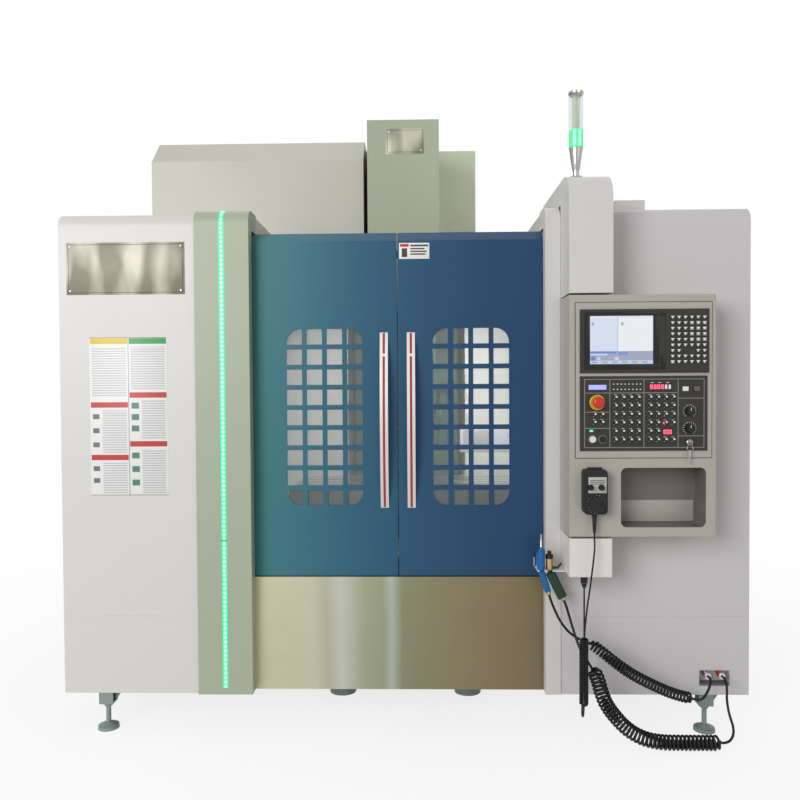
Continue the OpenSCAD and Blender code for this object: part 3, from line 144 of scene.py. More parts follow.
class Shader:
    """Builds the nodes of one material or world."""

    def __init__(self, name: str, kind: str = "materials") -> None:
        """Starts a material, or a world, with its plain shader."""
        self.material = getattr(bpy.data, kind).new(name.replace("_", " "))
        self.material.use_nodes = True
        self.nodes = self.material.node_tree.nodes
        self.links = self.material.node_tree.links
        self.principled = next((n for n in self.nodes if n.type == "BSDF_PRINCIPLED"), None)
        self._place: Optional[bpy.types.NodeSocket] = None

    def node(self, kind: str, settings: Optional[dict] = None, inputs: Optional[dict] = None,
             output: object = 0) -> Socket:
        """Adds one node.

        Args:
            kind: the node's type.
            settings: attributes, or "stops" for a ramp as (place, colour) pairs.
            inputs: values or sockets by input name or number.
            output: name or number of the wanted output.

        Returns:
            The wanted output, wrapped.
        """
        made = self.nodes.new(kind)
        for key, value in (settings or {}).items():
            if key == "stops":
                ramp = made.color_ramp
                while len(ramp.elements) < len(value):
                    ramp.elements.new(0.5)
                for element, (place, colour) in zip(ramp.elements, value):
                    element.position = place
                    element.color = (*colour, 1.0)
            else:
                setattr(made, key, value)
        for key, value in (inputs or {}).items():
            self.feed(made.inputs[key], value)
        return Socket(self, made.outputs[output])

    def feed(self, target: bpy.types.NodeSocket, value: object) -> None:
        """Links or sets one input."""
        value = value.value if isinstance(value, Socket) else value
        if isinstance(value, bpy.types.NodeSocket):
            self.links.new(value, target)
        elif hasattr(value, "__len__") and len(value) == 3 and len(target.default_value) == 4:
            target.default_value = (*value, 1.0)
        else:
            target.default_value = value

    def axis(self, name: str) -> Socket:
        """One of the object coordinates X, Y and Z, in metres in the row frame."""
        return self.node("ShaderNodeSeparateXYZ", inputs={0: self.place()}, output=name)

    def place(self) -> bpy.types.NodeSocket:
        """Object coordinates."""
        self._place = self._place or self.node("ShaderNodeTexCoord", output="Object").value
        return self._place

    def noise(self, scale: float, detail: float = 2.0, stretch: Sequence[float] = (1, 1, 1)) -> Socket:
        """Noise of so many cells a metre, stretched along the axes."""
        mapped = self.node("ShaderNodeMapping", inputs={"Vector": self.place(), "Scale": tuple(stretch)})
        return self.node("ShaderNodeTexNoise", inputs={"Vector": mapped, "Scale": scale, "Detail": detail})

    def mix(self, factor: object, first: object, second: object) -> Socket:
        """Blends two colours."""
        return self.node("ShaderNodeMix", {"data_type": "RGBA"}, {0: factor, 6: first, 7: second}, output=2)

    def ray(self, name: str) -> Socket:
        """1 for one kind of ray."""
        return self.node("ShaderNodeLightPath", output=name)

    def inside(self, x: tuple, z: tuple) -> Socket:
        """1 within a rectangle across and up, in mm."""
        ax, az = self.axis("X"), self.axis("Z")
        return ((ax > mm(x[0])) * (ax < mm(x[1]))) * ((az > mm(z[0])) * (az < mm(z[1])))

    def fields(self, ground: object, rows: Sequence[tuple]) -> object:
        """Lays fields of colour over a ground, each as (left, right, bottom, top, tint)."""
        for x0, x1, z0, z1, tint in rows:
            ground = self.mix(self.inside((x0, x1), (z0, z1)), ground, tint)
        return ground

    def surface(self, **values: object) -> None:
        """Feeds the Principled shader."""
        for key, value in values.items():
            self.feed(self.principled.inputs[key.replace("_", " ").title().replace("Ior", "IOR")], value)

    def bump(self, height: Socket, strength: float, distance: float) -> None:
        """Feeds the normal from a height."""
        bumped = self.node("ShaderNodeBump", inputs={"Height": height, "Strength": strength, "Distance": distance},
                           output="Normal")
        self.feed(self.principled.inputs["Normal"], bumped)

    def blend(self, factor: Socket, first: object, second: Socket, output: str) -> None:
        """Mixes two shaders into an output node."""
        mixed = self.node("ShaderNodeMixShader", inputs={0: factor, 1: first, 2: second})
        self.feed(self.nodes[output].inputs["Surface"], mixed)


@dataclass(frozen=True)
class Finish:
    """A surface finish, made as one procedural material."""

    name: str

    def material(self) -> bpy.types.Material:
        """Makes the material."""
        s = Shader(self.name)
        self.paint(s)
        return s.material

    def paint(self, s: Shader) -> None:
        """Feeds the shader, in each kind of finish its own way."""


@dataclass(frozen=True)
class PowderCoat(Finish):
    """Fine textured paint on sheet metal, a little greyer towards the floor."""

    colour: tuple
    roughness: float = 0.42
    grain: float = 0.12
    soil: float = 0.1

    def paint(self, s: Shader) -> None:
        """Feeds the shader."""
        cloud = s.noise(2.2, 3.0)
        low = (1.0 - s.axis("Z") * 1.6).clamp()
        mask = (low * cloud * self.soil * 1.6 + cloud * self.soil * 0.35).clamp()
        tint = s.mix(mask, self.colour, toned(self.colour, 0.55, 0.09))
        s.bump(s.noise(900.0, 1.0), self.grain, 0.0004)
        s.surface(base_color=tint, roughness=s.noise(5.0) * 0.1 + (self.roughness - 0.05))


@dataclass(frozen=True)
class Banded(Finish):
    """Sheet with painted light and painted reflections, as broad soft bands of tone across the machine.

    Each stop holds a place across in mm and a colour.
    """

    stops: tuple
    metallic: float
    roughness: float
    gloss: float
    marks: float
    wander: float = 30.0

    def paint(self, s: Shader) -> None:
        """Feeds the shader."""
        low, high = mm(self.stops[0][0]), mm(self.stops[-1][0])
        across = s.axis("X") + (s.noise(1.6, 2.0) - 0.5) * mm(self.wander * 2)
        places = tuple(((mm(x) - low) / (high - low), colour) for x, colour in self.stops)
        tone = s.node("ShaderNodeValToRGB", {"stops": places}, {0: (across - low) / (high - low)})
        cloud, streak = s.noise(5.0, 3.0), s.noise(18.0, 4.0, (1, 60, 60))
        tint = s.mix((cloud - 0.35).clamp() * self.marks, tone, (0.1, 0.095, 0.08))
        s.bump(streak if self.metallic else s.noise(900.0, 1.0), 0.12, 0.0003)
        s.surface(base_color=tint, metallic=self.metallic, specular_ior_level=self.gloss,
                  roughness=cloud * 0.12 + (self.roughness - 0.06))


@dataclass(frozen=True)
class PocketShadedPaint(Finish):
    """Powder coat with painted shade: darker inside a recess between two places across and up."""

    colour: tuple
    x: tuple
    z: tuple
    face_d: float
    back_d: float

    def paint(self, s: Shader) -> None:
        """Feeds the shader."""
        pocket_shade = s.inside(self.x, self.z) * (s.axis("Y") > at(0, self.face_d + 3, 0).y)
        pocket_shade = pocket_shade * (s.axis("Y") < at(0, self.back_d, 0).y)
        tint = s.mix(s.noise(2.2, 3.0) * 0.08, self.colour, toned(self.colour, 0.6, 0.08))
        # Painted shade: inside the pocket the paint is darkened almost to black.
        tint = s.mix(pocket_shade * 0.74, tint, (0.055, 0.052, 0.045))
        s.bump(s.noise(900.0, 1.0), 0.12, 0.0004)
        s.surface(base_color=tint, roughness=s.noise(5.0) * 0.1 + 0.38)


@dataclass(frozen=True)
class BrushedSteel(Finish):
    """Sheet metal with a brushed grain along one axis, and faint cloudy marks."""

    colour: tuple
    roughness: float
    grain_axis: str
    marks: float
    metallic: float = 1.0

    def paint(self, s: Shader) -> None:
        """Feeds the shader."""
        streak = s.noise(18.0, 4.0, tuple(1 if axis == self.grain_axis else 60 for axis in "XYZ"))
        cloud = s.noise(3.4, 3.0)
        tint = s.mix((cloud - 0.35) * self.marks * 2.0, self.colour, toned(self.colour, 0.62))
        tint = s.mix((streak - 0.5).abs() * 0.9, tint, toned(self.colour, 0.75))
        s.bump(streak, 0.15, 0.0002)
        s.surface(base_color=tint, metallic=self.metallic,
                  roughness=streak * 0.16 + cloud * 0.1 + (self.roughness - 0.13))


@dataclass(frozen=True)
class Mirrored(Finish):
    """Polished sheet with painted reflections: soft dark and pale shapes of a room in it."""

    dark: tuple
    pale: tuple

    def paint(self, s: Shader) -> None:
        """Feeds the shader."""
        shapes = s.noise(5.0, 1.5, (2.2, 1, 0.8))
        tint = s.mix(((shapes - 0.4) * 5.0).clamp(), self.dark, self.pale)
        s.surface(base_color=tint, metallic=0.35, roughness=s.noise(30.0) * 0.1 + 0.46, specular_ior_level=0.3)


@dataclass(frozen=True)
class Moulded(Finish):
    """Plastic, rubber or painted casting: cloudy tone over a fine or coarse skin."""

    colour: tuple
    roughness: float = 0.35
    grain: float = 0.05
    wear: float = 0.15
    cloud: tuple = (30.0, 2.0)
    skin: tuple = (1600.0, 1.0, 0.0002)
    worn: tuple = (0.6, 0.05)
    sheen: tuple = (0.12, 0.06)
    gloss: float = 0.3

    def paint(self, s: Shader) -> None:
        """Feeds the shader."""
        cloud = s.noise(*self.cloud)
        s.bump(s.noise(*self.skin[:2]), self.grain, self.skin[2])
        tint = s.mix(cloud * self.wear, self.colour, toned(self.colour, *self.worn))
        s.surface(base_color=tint, specular_ior_level=self.gloss,
                  roughness=cloud * self.sheen[0] + (self.roughness - self.sheen[1]))


@dataclass(frozen=True)
class Clear(Finish):
    """Clear glass or plastic that shows what is behind it."""

    colour: tuple
    alpha: float
    roughness: float = 0.06

    def paint(self, s: Shader) -> None:
        """Feeds the shader."""
        smear = s.noise(9.0, 3.0)
        s.surface(base_color=self.colour, roughness=smear * 0.1 + self.roughness,
                  alpha=smear * 0.06 + (self.alpha - 0.03))


@dataclass(frozen=True)
class Glow(Finish):
    """A lamp or display that gives its own light."""

    colour: tuple
    strength: float
    spread: float = 0.2

    def paint(self, s: Shader) -> None:
        """Feeds the shader."""
        lit = s.mix(s.noise(80.0, 1.0) * self.spread, self.colour, toned(self.colour, 0.6, 0.3))
        s.surface(base_color=self.colour, roughness=0.3, emission_color=lit, emission_strength=self.strength)


@dataclass(frozen=True)
class LightBand(Finish):
    """Diffuser over a row of small green lamps, with a dark joint."""

    middle_x: float
    pitch: float = 16.5
    joint_z: float = 714.0
    half_width: float = 11.0

    def paint(self, s: Shader) -> None:
        """Feeds the shader."""
        along = (s.axis("Z") / mm(self.pitch)).fract() - 0.5
        across = (s.axis("X") - mm(self.middle_x)).abs() / mm(self.half_width)
        dot = (1.0 - (along.abs() * 2.0 + across * 0.9)).clamp().power(0.6)
        dark = (s.axis("Z") - mm(self.joint_z)).abs() < mm(3.0)
        colour = s.mix(dot, (0.06, 0.5, 0.26), (0.4, 0.56, 0.5))
        colour = s.mix((across * 2.4 - 0.9).clamp(), colour, (0.0, 0.3, 0.09))
        colour = s.mix(dark, colour, (0.02, 0.12, 0.05))
        s.surface(base_color=(0.02, 0.2, 0.08), roughness=0.35, emission_color=colour, emission_strength=2.0)


@dataclass(frozen=True)
class StripedHandle(Finish):
    """Brushed steel with a thin red line down the middle, broken at one height."""

    middle_x: float
    z_low: float
    z_high: float
    gap_z: float = 1392.0

    def paint(self, s: Shader) -> None:
        """Feeds the shader."""
        line = (s.axis("X") - mm(self.middle_x)).abs() < mm(4.4)
        line = line * (s.axis("Z") > mm(self.z_low)) * (s.axis("Z") < mm(self.z_high))
        red = line * (1.0 - ((s.axis("Z") - mm(self.gap_z)).abs() < mm(5.0)))
        streak = s.noise(20.0, 3.0, (60, 60, 1))
        steel = s.mix(streak * 0.5, (0.66, 0.65, 0.63), (0.45, 0.44, 0.42))
        s.bump(streak, 0.1, 0.0002)
        s.surface(base_color=s.mix(red, steel, (0.36, 0.018, 0.02)), metallic=(1.0 - red) * 0.9,
                  roughness=streak * 0.15 + 0.26)


@dataclass(frozen=True)
class Sheet(Finish):
    """A printed sheet as fields of colour and grey bands that stand for lines of print."""

    fields: tuple
    bands: tuple
    pitch: float = 9.0

    def paint(self, s: Shader) -> None:
        """Feeds the shader."""
        grey = s.mix(s.noise(240.0, 2.0, (1, 1, 0.2)), (0.3, 0.3, 0.3), (0.62, 0.62, 0.62))
        colour: object = (0.8, 0.8, 0.79)
        for x0, x1, z0, z1 in self.bands:
            rows = ((s.axis("Z") - mm(z0)) / mm(self.pitch)).fract() < 0.52
            colour = s.mix(s.inside((x0, x1), (z0, z1)) * rows * 0.8, colour, grey)
        s.surface(base_color=s.fields(colour, self.fields), roughness=s.noise(12.0) * 0.1 + 0.35)


@dataclass(frozen=True)
class LitScreen(Finish):
    """A screen's picture as plain panes of colour."""

    panes: tuple

    def paint(self, s: Shader) -> None:
        """Feeds the shader."""
        s.surface(base_color=(0.05, 0.05, 0.05), roughness=0.12, emission_strength=0.85,
                  emission_color=s.fields((0.7, 0.76, 0.93), self.panes))


@dataclass(frozen=True)
class PaleFloor(Finish):
    """White floor that keeps the machine's shadow and fades out far from it."""

    def paint(self, s: Shader) -> None:
        """Feeds the shader."""
        far = s.axis("X") * s.axis("X") * 0.36 + (s.axis("Y") + 0.2) * (s.axis("Y") + 0.2) * 0.5
        s.surface(base_color=s.mix(s.noise(1.5), (0.93, 0.93, 0.93), (0.95, 0.95, 0.95)), roughness=0.9,
                  alpha=(1.35 - far.power(0.5) * 0.62).clamp())
        seen = s.ray("Is Camera Ray") + s.ray("Is Glossy Ray") + s.ray("Is Transmission Ray")
        white = s.node("ShaderNodeEmission", inputs={"Color": WHITE, "Strength": 1.0})
        s.blend(seen.clamp() * 0.8, s.principled.outputs[0], white, "Material Output")


# Roughness, grain, wear, cloud, skin, worn, sheen and gloss of painted castings
CAST_IRON = (0.5, 0.3, 0.5, (6.0, 3.0), (260.0, 2.0, 0.0008), (0.7, 0.0), (0.2, 0.1), 0.5)

FINISHES: dict = {finish.name: finish for finish in (
    PowderCoat("dark_frame", (0.1, 0.105, 0.105)),
    PowderCoat("foot_metal", (0.24, 0.3, 0.27), 0.4),
    PowderCoat("white_paint", (0.66, 0.643, 0.622)),
    # The lower pillar's and column cover's paints are lighter copies of white and sage paint, as painted light; the
    # right panel's is a darker, cooler copy of white paint, as painted shade; the hood's is a warmer white, also
    # darker as painted shade.
    PowderCoat("pillar_lit_white", (0.76, 0.725, 0.705)),
    PowderCoat("right_shaded_white", (0.61, 0.585, 0.59)),
    PowderCoat("hood_warm_shaded_white", (0.53, 0.518, 0.44)),
    PowderCoat("sage_paint", (0.365, 0.415, 0.3)),
    PowderCoat("cover_lit_sage", (0.44, 0.48, 0.35)),
    PowderCoat("beige_paint", (0.425, 0.408, 0.36)),
    # The blue doors and the stainless apron carry painted light and painted reflections in their bands of tone
    # across.
    Banded("blue_paint", (
        (-560, (0.04, 0.19, 0.19)), (-440, (0.046, 0.17, 0.215)), (-200, (0.03, 0.118, 0.185)),
        (60, (0.022, 0.08, 0.16)), (330, (0.017, 0.058, 0.13)), (530, (0.016, 0.06, 0.15))),
        0.0, 0.38, 0.22, 0.06),
    Banded("stainless", (
        (-560, (0.54, 0.51, 0.35)), (-340, (0.52, 0.5, 0.37)), (-290, (0.43, 0.43, 0.31)),
        (-235, (0.5, 0.515, 0.43)), (-150, (0.33, 0.35, 0.235)), (-80, (0.3, 0.32, 0.205)),
        (-45, (0.4, 0.43, 0.35)), (-5, (0.235, 0.25, 0.15)), (120, (0.24, 0.215, 0.125)),
        (340, (0.22, 0.175, 0.1)), (560, (0.185, 0.142, 0.08))), 0.75, 0.4, 0.5, 0.25),
    BrushedSteel("guard_sheet", (0.74, 0.74, 0.71), 0.42, "Z", 0.2, 0.3),
    BrushedSteel("ground_steel", (0.62, 0.62, 0.63), 0.28, "X", 0.1),
    BrushedSteel("ground_iron", (0.42, 0.42, 0.42), 0.36, "X", 0.25),
    BrushedSteel("chrome", (0.42, 0.4, 0.38), 0.18, "Z", 0.4),
    BrushedSteel("brass", (0.52, 0.38, 0.16), 0.32, "Z", 0.2),
    # The plates' dark and pale patches are painted reflections.
    Mirrored("plate_steel", (0.2, 0.2, 0.15), (0.5, 0.49, 0.4)),
    Moulded("green_casting", (0.035, 0.085, 0.07), *CAST_IRON),
    Moulded("motor_grey", (0.05, 0.055, 0.06), *CAST_IRON),
    Moulded("black_plastic", (0.01, 0.01, 0.01), 0.55, 0.05, 0.05),
    Moulded("panel_black", (0.03, 0.028, 0.021), 0.5, 0.05, 0.1),
    Moulded("gloss_black", (0.008, 0.008, 0.009), 0.22, 0.0, 0.05),
    Moulded("valve_paint", (0.46, 0.47, 0.52), 0.4),
    Moulded("lamp_off", (0.13, 0.12, 0.11), 0.35),
    Moulded("red_plastic", (0.62, 0.035, 0.028), 0.3, 0.02),
    Moulded("red_hose_end", (0.42, 0.02, 0.02), 0.4),
    Moulded("yellow_plastic", (0.7, 0.42, 0.02), 0.35),
    Moulded("white_plastic", (0.78, 0.78, 0.74), 0.3, 0.02),
    Moulded("blue_plastic", (0.008, 0.12, 0.36), 0.34),
    Moulded("green_plastic", (0.007, 0.036, 0.018), 0.45),
    Moulded("print_white", (0.84, 0.84, 0.82), 0.45),
    Moulded("key_grey", (0.3, 0.3, 0.29), 0.5),
    Moulded("line_grey", (0.33, 0.33, 0.32), 0.5),
    Moulded("joint_dark", (0.05, 0.05, 0.048), 0.6),
    Moulded("display_dark", (0.02, 0.012, 0.012), 0.2),
    Moulded("plate_pale", (0.5, 0.49, 0.46), 0.35),
    Moulded("cord_rubber", (0.004, 0.0045, 0.006), 0.38, 0.06, 0.22, (60.0, 3.0), (700.0, 1.0, 0.0002),
            sheen=(0.18, 0.08), gloss=0.2),
    Clear("window_glass", (0.55, 0.62, 0.6), 0.12),
    Clear("tower_plastic", (0.6, 0.7, 0.64), 0.24, 0.12),
    Clear("tower_mist", (0.36, 0.58, 0.42), 0.42, 0.3),
    Glow("display_blue", (0.25, 0.27, 0.98), 1.0),
    Glow("display_red", (1.0, 0.06, 0.14), 1.6),
    Glow("lamp_green", (0.06, 0.9, 0.34), 1.5),
    Glow("tower_green", (0.0, 0.5, 0.15), 1.05, 0.05),
    Glow("tower_core", (0.22, 0.95, 0.5), 1.0, 0.1),
)}


@lru_cache(maxsize=None)
def material_of(finish: Union[str, Finish]) -> bpy.types.Material:
    """The material of a finish, or of its name in the table, made once."""
    return (FINISHES[finish] if isinstance(finish, str) else finish).material()


def dress(obj: Piece, finish: Union[str, Finish]) -> None:
    """Gives an object one material."""
    obj.data.materials.clear()
    obj.data.materials.append(material_of(finish))


def pick(*pieces: Piece) -> None:
    """Selects these pieces alone, the first of them as the active one."""
    if bpy.context.object and bpy.context.object.mode != "OBJECT":
        bpy.ops.object.mode_set(mode="OBJECT")
    bpy.ops.object.select_all(action="DESELECT")
    for piece in pieces:
        piece.select_set(True)
    if pieces:
        bpy.context.view_layer.objects.active = pieces[0]


def settle(obj: Piece) -> Piece:
    """Puts an object's place into its mesh."""
    pick(obj)
    bpy.ops.object.transform_apply(location=True, rotation=True, scale=True)
    return obj


def block(name: str, place: Vector, x: tuple, d: tuple, z: tuple, round_by: float = 0.0) -> Piece:
    """A box from its spans across, deep and up.

    Args:
        name: the piece's name.
        place: where the spans are counted from, in metres.
        x: left and right end in mm.
        d: front and rear end in mm.
        z: lower and upper end in mm.
        round_by: bevel of its edges in mm.

    Returns:
        The piece, its place in its mesh.
    """
    low, high = near(place, x[0], d[0], z[0]), near(place, x[1], d[1], z[1])
    pick()
    bpy.ops.mesh.primitive_cube_add(size=1.0, location=(low + high) / 2)
    obj = bpy.context.object
    obj.name = name
    obj.scale = high - low
    settle(obj)
    if round_by:
        modifier = obj.modifiers.new("edges", "BEVEL")
        modifier.width = mm(round_by)
        modifier.segments = 2
        modifier.limit_method = "ANGLE"
        modifier.angle_limit = math.radians(40)
        bpy.ops.object.modifier_apply(modifier=modifier.name)
        bpy.ops.object.shade_smooth_by_angle(angle=SMOOTH_BELOW)
    return obj


def slabs(name: str, place: Vector, d: tuple, rows: Sequence[tuple], round_by: float = 0.0) -> Piece:
    """Boxes of one depth, each from (left, right, bottom, top) in mm, as one piece."""
    return join(name, [block(name, place, r[:2], d, r[2:4], round_by) for r in rows])


def turned(name: str, base: Vector, way: Vector, rings: Sequence[tuple], sides: int = 32) -> Piece:
    """A turned piece, extruded ring by ring from a disc.

    Args:
        name: the piece's name.
        base: the point that the rings are counted from, in metres.
        way: the direction in which the piece grows.
        rings: (distance from the base, radius) in mm, in order.
        sides: facets round it.

    Returns:
        The closed piece.
    """
    first_z, last_r = rings[0]
    last_z = first_z
    pick()
    bpy.ops.mesh.primitive_circle_add(vertices=sides, radius=mm(last_r), fill_type="NGON")
    obj = bpy.context.object
    obj.name = name
    bpy.ops.object.mode_set(mode="EDIT")
    bpy.ops.mesh.select_all(action="SELECT")
    for z, r in rings[1:]:
        bpy.ops.mesh.extrude_region_move(TRANSFORM_OT_translate={"value": (0, 0, mm(z - last_z))})
        bpy.ops.transform.resize(value=(r / last_r,) * 3, center_override=(0, 0, mm(z - first_z)))
        last_z, last_r = z, r
    bpy.ops.mesh.select_all(action="SELECT")
    bpy.ops.mesh.normals_make_consistent(inside=False)
    bpy.ops.object.mode_set(mode="OBJECT")
    turn = UP.rotation_difference(way).to_matrix().to_4x4()
    obj.matrix_world = Matrix.Translation(base + way * mm(first_z)) @ turn
    settle(obj)
    bpy.ops.object.shade_smooth_by_angle(angle=SMOOTH_BELOW)
    return obj


def copy(obj: Piece, change: Matrix) -> Piece:
    """A copy with its own mesh, moved or turned."""
    twin = obj.copy()
    twin.data = obj.data.copy()
    bpy.context.scene.collection.objects.link(twin)
    twin.data.transform(change)
    return twin


def join(name: str, pieces: Sequence[Piece]) -> Piece:
    """Joins pieces of one finish into one."""
    pick(*pieces)
    if len(pieces) > 1:
        bpy.ops.object.join()
    pieces[0].name = name
    return pieces[0]


def repeat(name: str, first: Piece, places: Sequence[Vector]) -> Piece:
    """Copies a piece from its own place to every other one and joins them."""
    return join(name, [first] + [copy(first, Matrix.Translation(p - places[0])) for p in places[1:]])


def spread(name: str, first: Piece, centre: Vector, degrees: Sequence[float]) -> Piece:
    """Copies a piece round a centre in the front's plane, and joins the copies.

    Args:
        name: the joined piece's name.
        first: the piece at angle nought.
        centre: the centre, in metres.
        degrees: the angle of each copy.

    Returns:
        The joined piece.
    """
    to, back = Matrix.Translation(centre), Matrix.Translation(-centre)
    copies = [copy(first, to @ Matrix.Rotation(math.radians(a), 4, "Y") @ back) for a in degrees]
    bpy.data.objects.remove(first)
    return join(name, copies)


def fit(obj: Piece, finish: Union[str, Finish], body: Body = Body.CONTROL) -> Piece:
    """Gives a piece its finish and its body, which is the control box unless another is named."""
    dress(obj, finish)
    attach(obj, body.value)
    log.info("piece %s on %s", obj.name, body.value)
    return obj


@dataclass(frozen=True)
class Studio:
    """The photograph's view, soft lamps and a plain floor."""

    lens: float = 34.2
    eye: tuple = (56.5, -2776.0, 1290.0)
    down: float = 1.31
    left: float = 1.3
    roll: float = -0.34
    world_strength: float = 0.4

    def camera(self) -> None:
        """Adds the camera."""
        data = bpy.data.cameras.new("photograph")
        data.lens = self.lens
        data.sensor_width = 36.0
        data.clip_end = 60.0
        eye = bpy.data.objects.new("photograph", data)
        bpy.context.scene.collection.objects.link(eye)
        eye.location = at(*self.eye)
        aim = Matrix.Rotation(math.radians(self.left), 4, "Z")
        aim = aim @ Matrix.Rotation(math.radians(90.0 - self.down), 4, "X")
        aim = aim @ Matrix.Rotation(math.radians(self.roll), 4, "Z")
        eye.rotation_euler = aim.to_euler()
        bpy.context.scene.camera = eye

    def lamp(self, name: str, place: Vector, goal: Vector, size: float, watts: float, spread: float = 180.0) -> None:
        """Adds one square area lamp whose beam spreads so many degrees."""
        data = bpy.data.lights.new(name, "AREA")
        data.spread = math.radians(spread)
        data.size = size
        data.energy = watts
        lamp = bpy.data.objects.new(name, data)
        bpy.context.scene.collection.objects.link(lamp)
        lamp.location = place
        lamp.visible_camera = False
        lamp.rotation_euler = (goal - place).to_track_quat("-Z", "Y").to_euler()

    def light(self) -> None:
        """Adds the lamps and the world."""
        self.lamp("key", Vector((-3.6, -6.5, 3.1)), UP, 3.4, 292.0)
        self.lamp("fill", Vector((3.4, -4.8, 3.4)), UP, 3.0, 22.0)
        self.lamp("top", Vector((0.0, 1.2, 5.6)), UP, 4.0, 30.0)
        self.lamp("back", Vector((1.5, 5.5, 3.5)), UP, 3.0, 90.0)
        self.lamp("cover light", Vector((2.2, -3.6, 3.3)), at(310, 1150, 2230), 0.6, 0.6, 14.0)
        self.lamp("right work light", at(330, 330, 1700), at(400, 957, 1120), 0.4, 3.3, 80.0)
        self.lamp("left work light", at(-380, 330, 1700), at(-440, 957, 1120), 0.4, 1.8, 80.0)
        s = Shader("studio", "worlds")
        dim = s.nodes["Background"]
        s.feed(dim.inputs["Color"], (0.92, 0.92, 0.92))
        s.feed(dim.inputs["Strength"], self.world_strength)
        white = s.node("ShaderNodeBackground", inputs={"Color": WHITE})
        seen = s.ray("Is Camera Ray").math("MAXIMUM", s.ray("Is Glossy Ray"))
        s.blend(seen, dim.outputs[0], white, "World Output")
        bpy.context.scene.world = s.material

    def build(self) -> None:
        """Sets the stage."""
        self.camera()
        self.light()
        pick()
        bpy.ops.mesh.primitive_plane_add(size=60.0, location=(0, 0, 0))
        plane = bpy.context.object
        plane.name = "floor"
        dress(plane, PaleFloor("pale floor"))
        bpy.context.scene.view_settings.view_transform = "Standard"


def smooth(points: Sequence[tuple], step: float = 6.0) -> list:
    """Points along a smooth line through others.

    Args:
        points: the places that the line runs through, in mm.
        step: distance between its points in mm.

    Returns:
        Vectors in mm.
    """
    marks = [Vector(p) for p in points]
    marks = [marks[0] * 2 - marks[1]] + marks + [marks[-1] * 2 - marks[-2]]
    line = []
    for a, b, c, d in zip(marks, marks[1:], marks[2:], marks[3:]):
        count = max(1, round((c - b).length / step))
        for t in (k / count for k in range(count)):
            line.append(0.5 * (2 * b + (c - a) * t + (2 * a - 5 * b + 4 * c - d) * t * t
                               + (3 * b - a - 3 * c + d) * t * t * t))
    return line + [marks[-2]]


def coiled(points: Sequence[tuple], radius: float, turns: int, per_turn: int = 14, ease: float = 1.2) -> list:
    """A helix round a line, which starts and ends on the line itself.

    Args:
        points: the places that the line runs through, in mm.
        radius: from the line to the cord's middle, in mm.
        turns: number of turns.
        per_turn: points a turn.
        ease: turns over which the helix opens and closes.

    Returns:
        Vectors in mm.
    """
    line = smooth(points, 4.0)
    lengths = [0.0]
    for a, b in zip(line, line[1:]):
        lengths.append(lengths[-1] + (b - a).length)
    total = turns * per_turn
    out, side, j = [], None, 0
    for i in range(total + 1):
        target = lengths[-1] * i / total
        while j < len(lengths) - 2 and lengths[j + 1] < target:
            j += 1
        span = max(lengths[j + 1] - lengths[j], 1e-6)
        middle = line[j].lerp(line[j + 1], (target - lengths[j]) / span)
        ahead = (line[min(j + 3, len(line) - 1)] - line[max(j - 2, 0)]).normalized()
        if side is None:
            side = ahead.cross(UP if abs(ahead.z) < 0.9 else Vector((0, 1, 0)))
        side = (side - ahead * side.dot(ahead)).normalized()
        here = i / per_turn
        opened = min(1.0, here / ease, (turns - here) / ease)
        angle = 2 * math.pi * here
        round_about = side * math.cos(angle) + ahead.cross(side) * math.sin(angle)
        out.append(middle + round_about * (radius * opened * opened * (3 - 2 * opened)))
    return out


@dataclass
class Cord:
    """One cord of any number of straight and coiled stretches, as one swept curve."""

    name: str
    diameter: float
    points: list = field(default_factory=list)

    def run(self, route: Sequence[tuple]) -> "Cord":
        """Adds an uncoiled stretch."""
        self.points += smooth(route)
        return self

    def coil(self, route: Sequence[tuple], outside: float, turns: int) -> "Cord":
        """Adds a coiled stretch of an outer diameter in mm."""
        self.points += coiled(route, (outside - self.diameter) / 2, turns)
        return self

    def line(self) -> list:
        """The points in the row frame, without doubles."""
        kept = [self.points[0]]
        for p in self.points[1:]:
            if (p - kept[-1]).length > self.diameter * 0.35:
                kept.append(p)
        return [at(*p) for p in kept]

    def tube(self, fineness: int = 2) -> Piece:
        """Sweeps the cord as a mesh tube along its points."""
        line = self.line()
        curve = bpy.data.curves.new(self.name, "CURVE")
        curve.dimensions = "3D"
        spline = curve.splines.new("POLY")
        spline.points.add(len(line) - 1)
        for point, place in zip(spline.points, line):
            point.co = (*place, 1.0)
        curve.bevel_depth = mm(self.diameter / 2)
        curve.bevel_resolution = fineness
        curve.use_fill_caps = True
        obj = bpy.data.objects.new(self.name, curve)
        bpy.context.scene.collection.objects.link(obj)
        pick(obj)
        bpy.ops.object.convert(target="MESH")
        obj = bpy.context.object
        obj.name = self.name
        bpy.ops.object.shade_smooth_by_angle(angle=math.radians(60))
        return obj


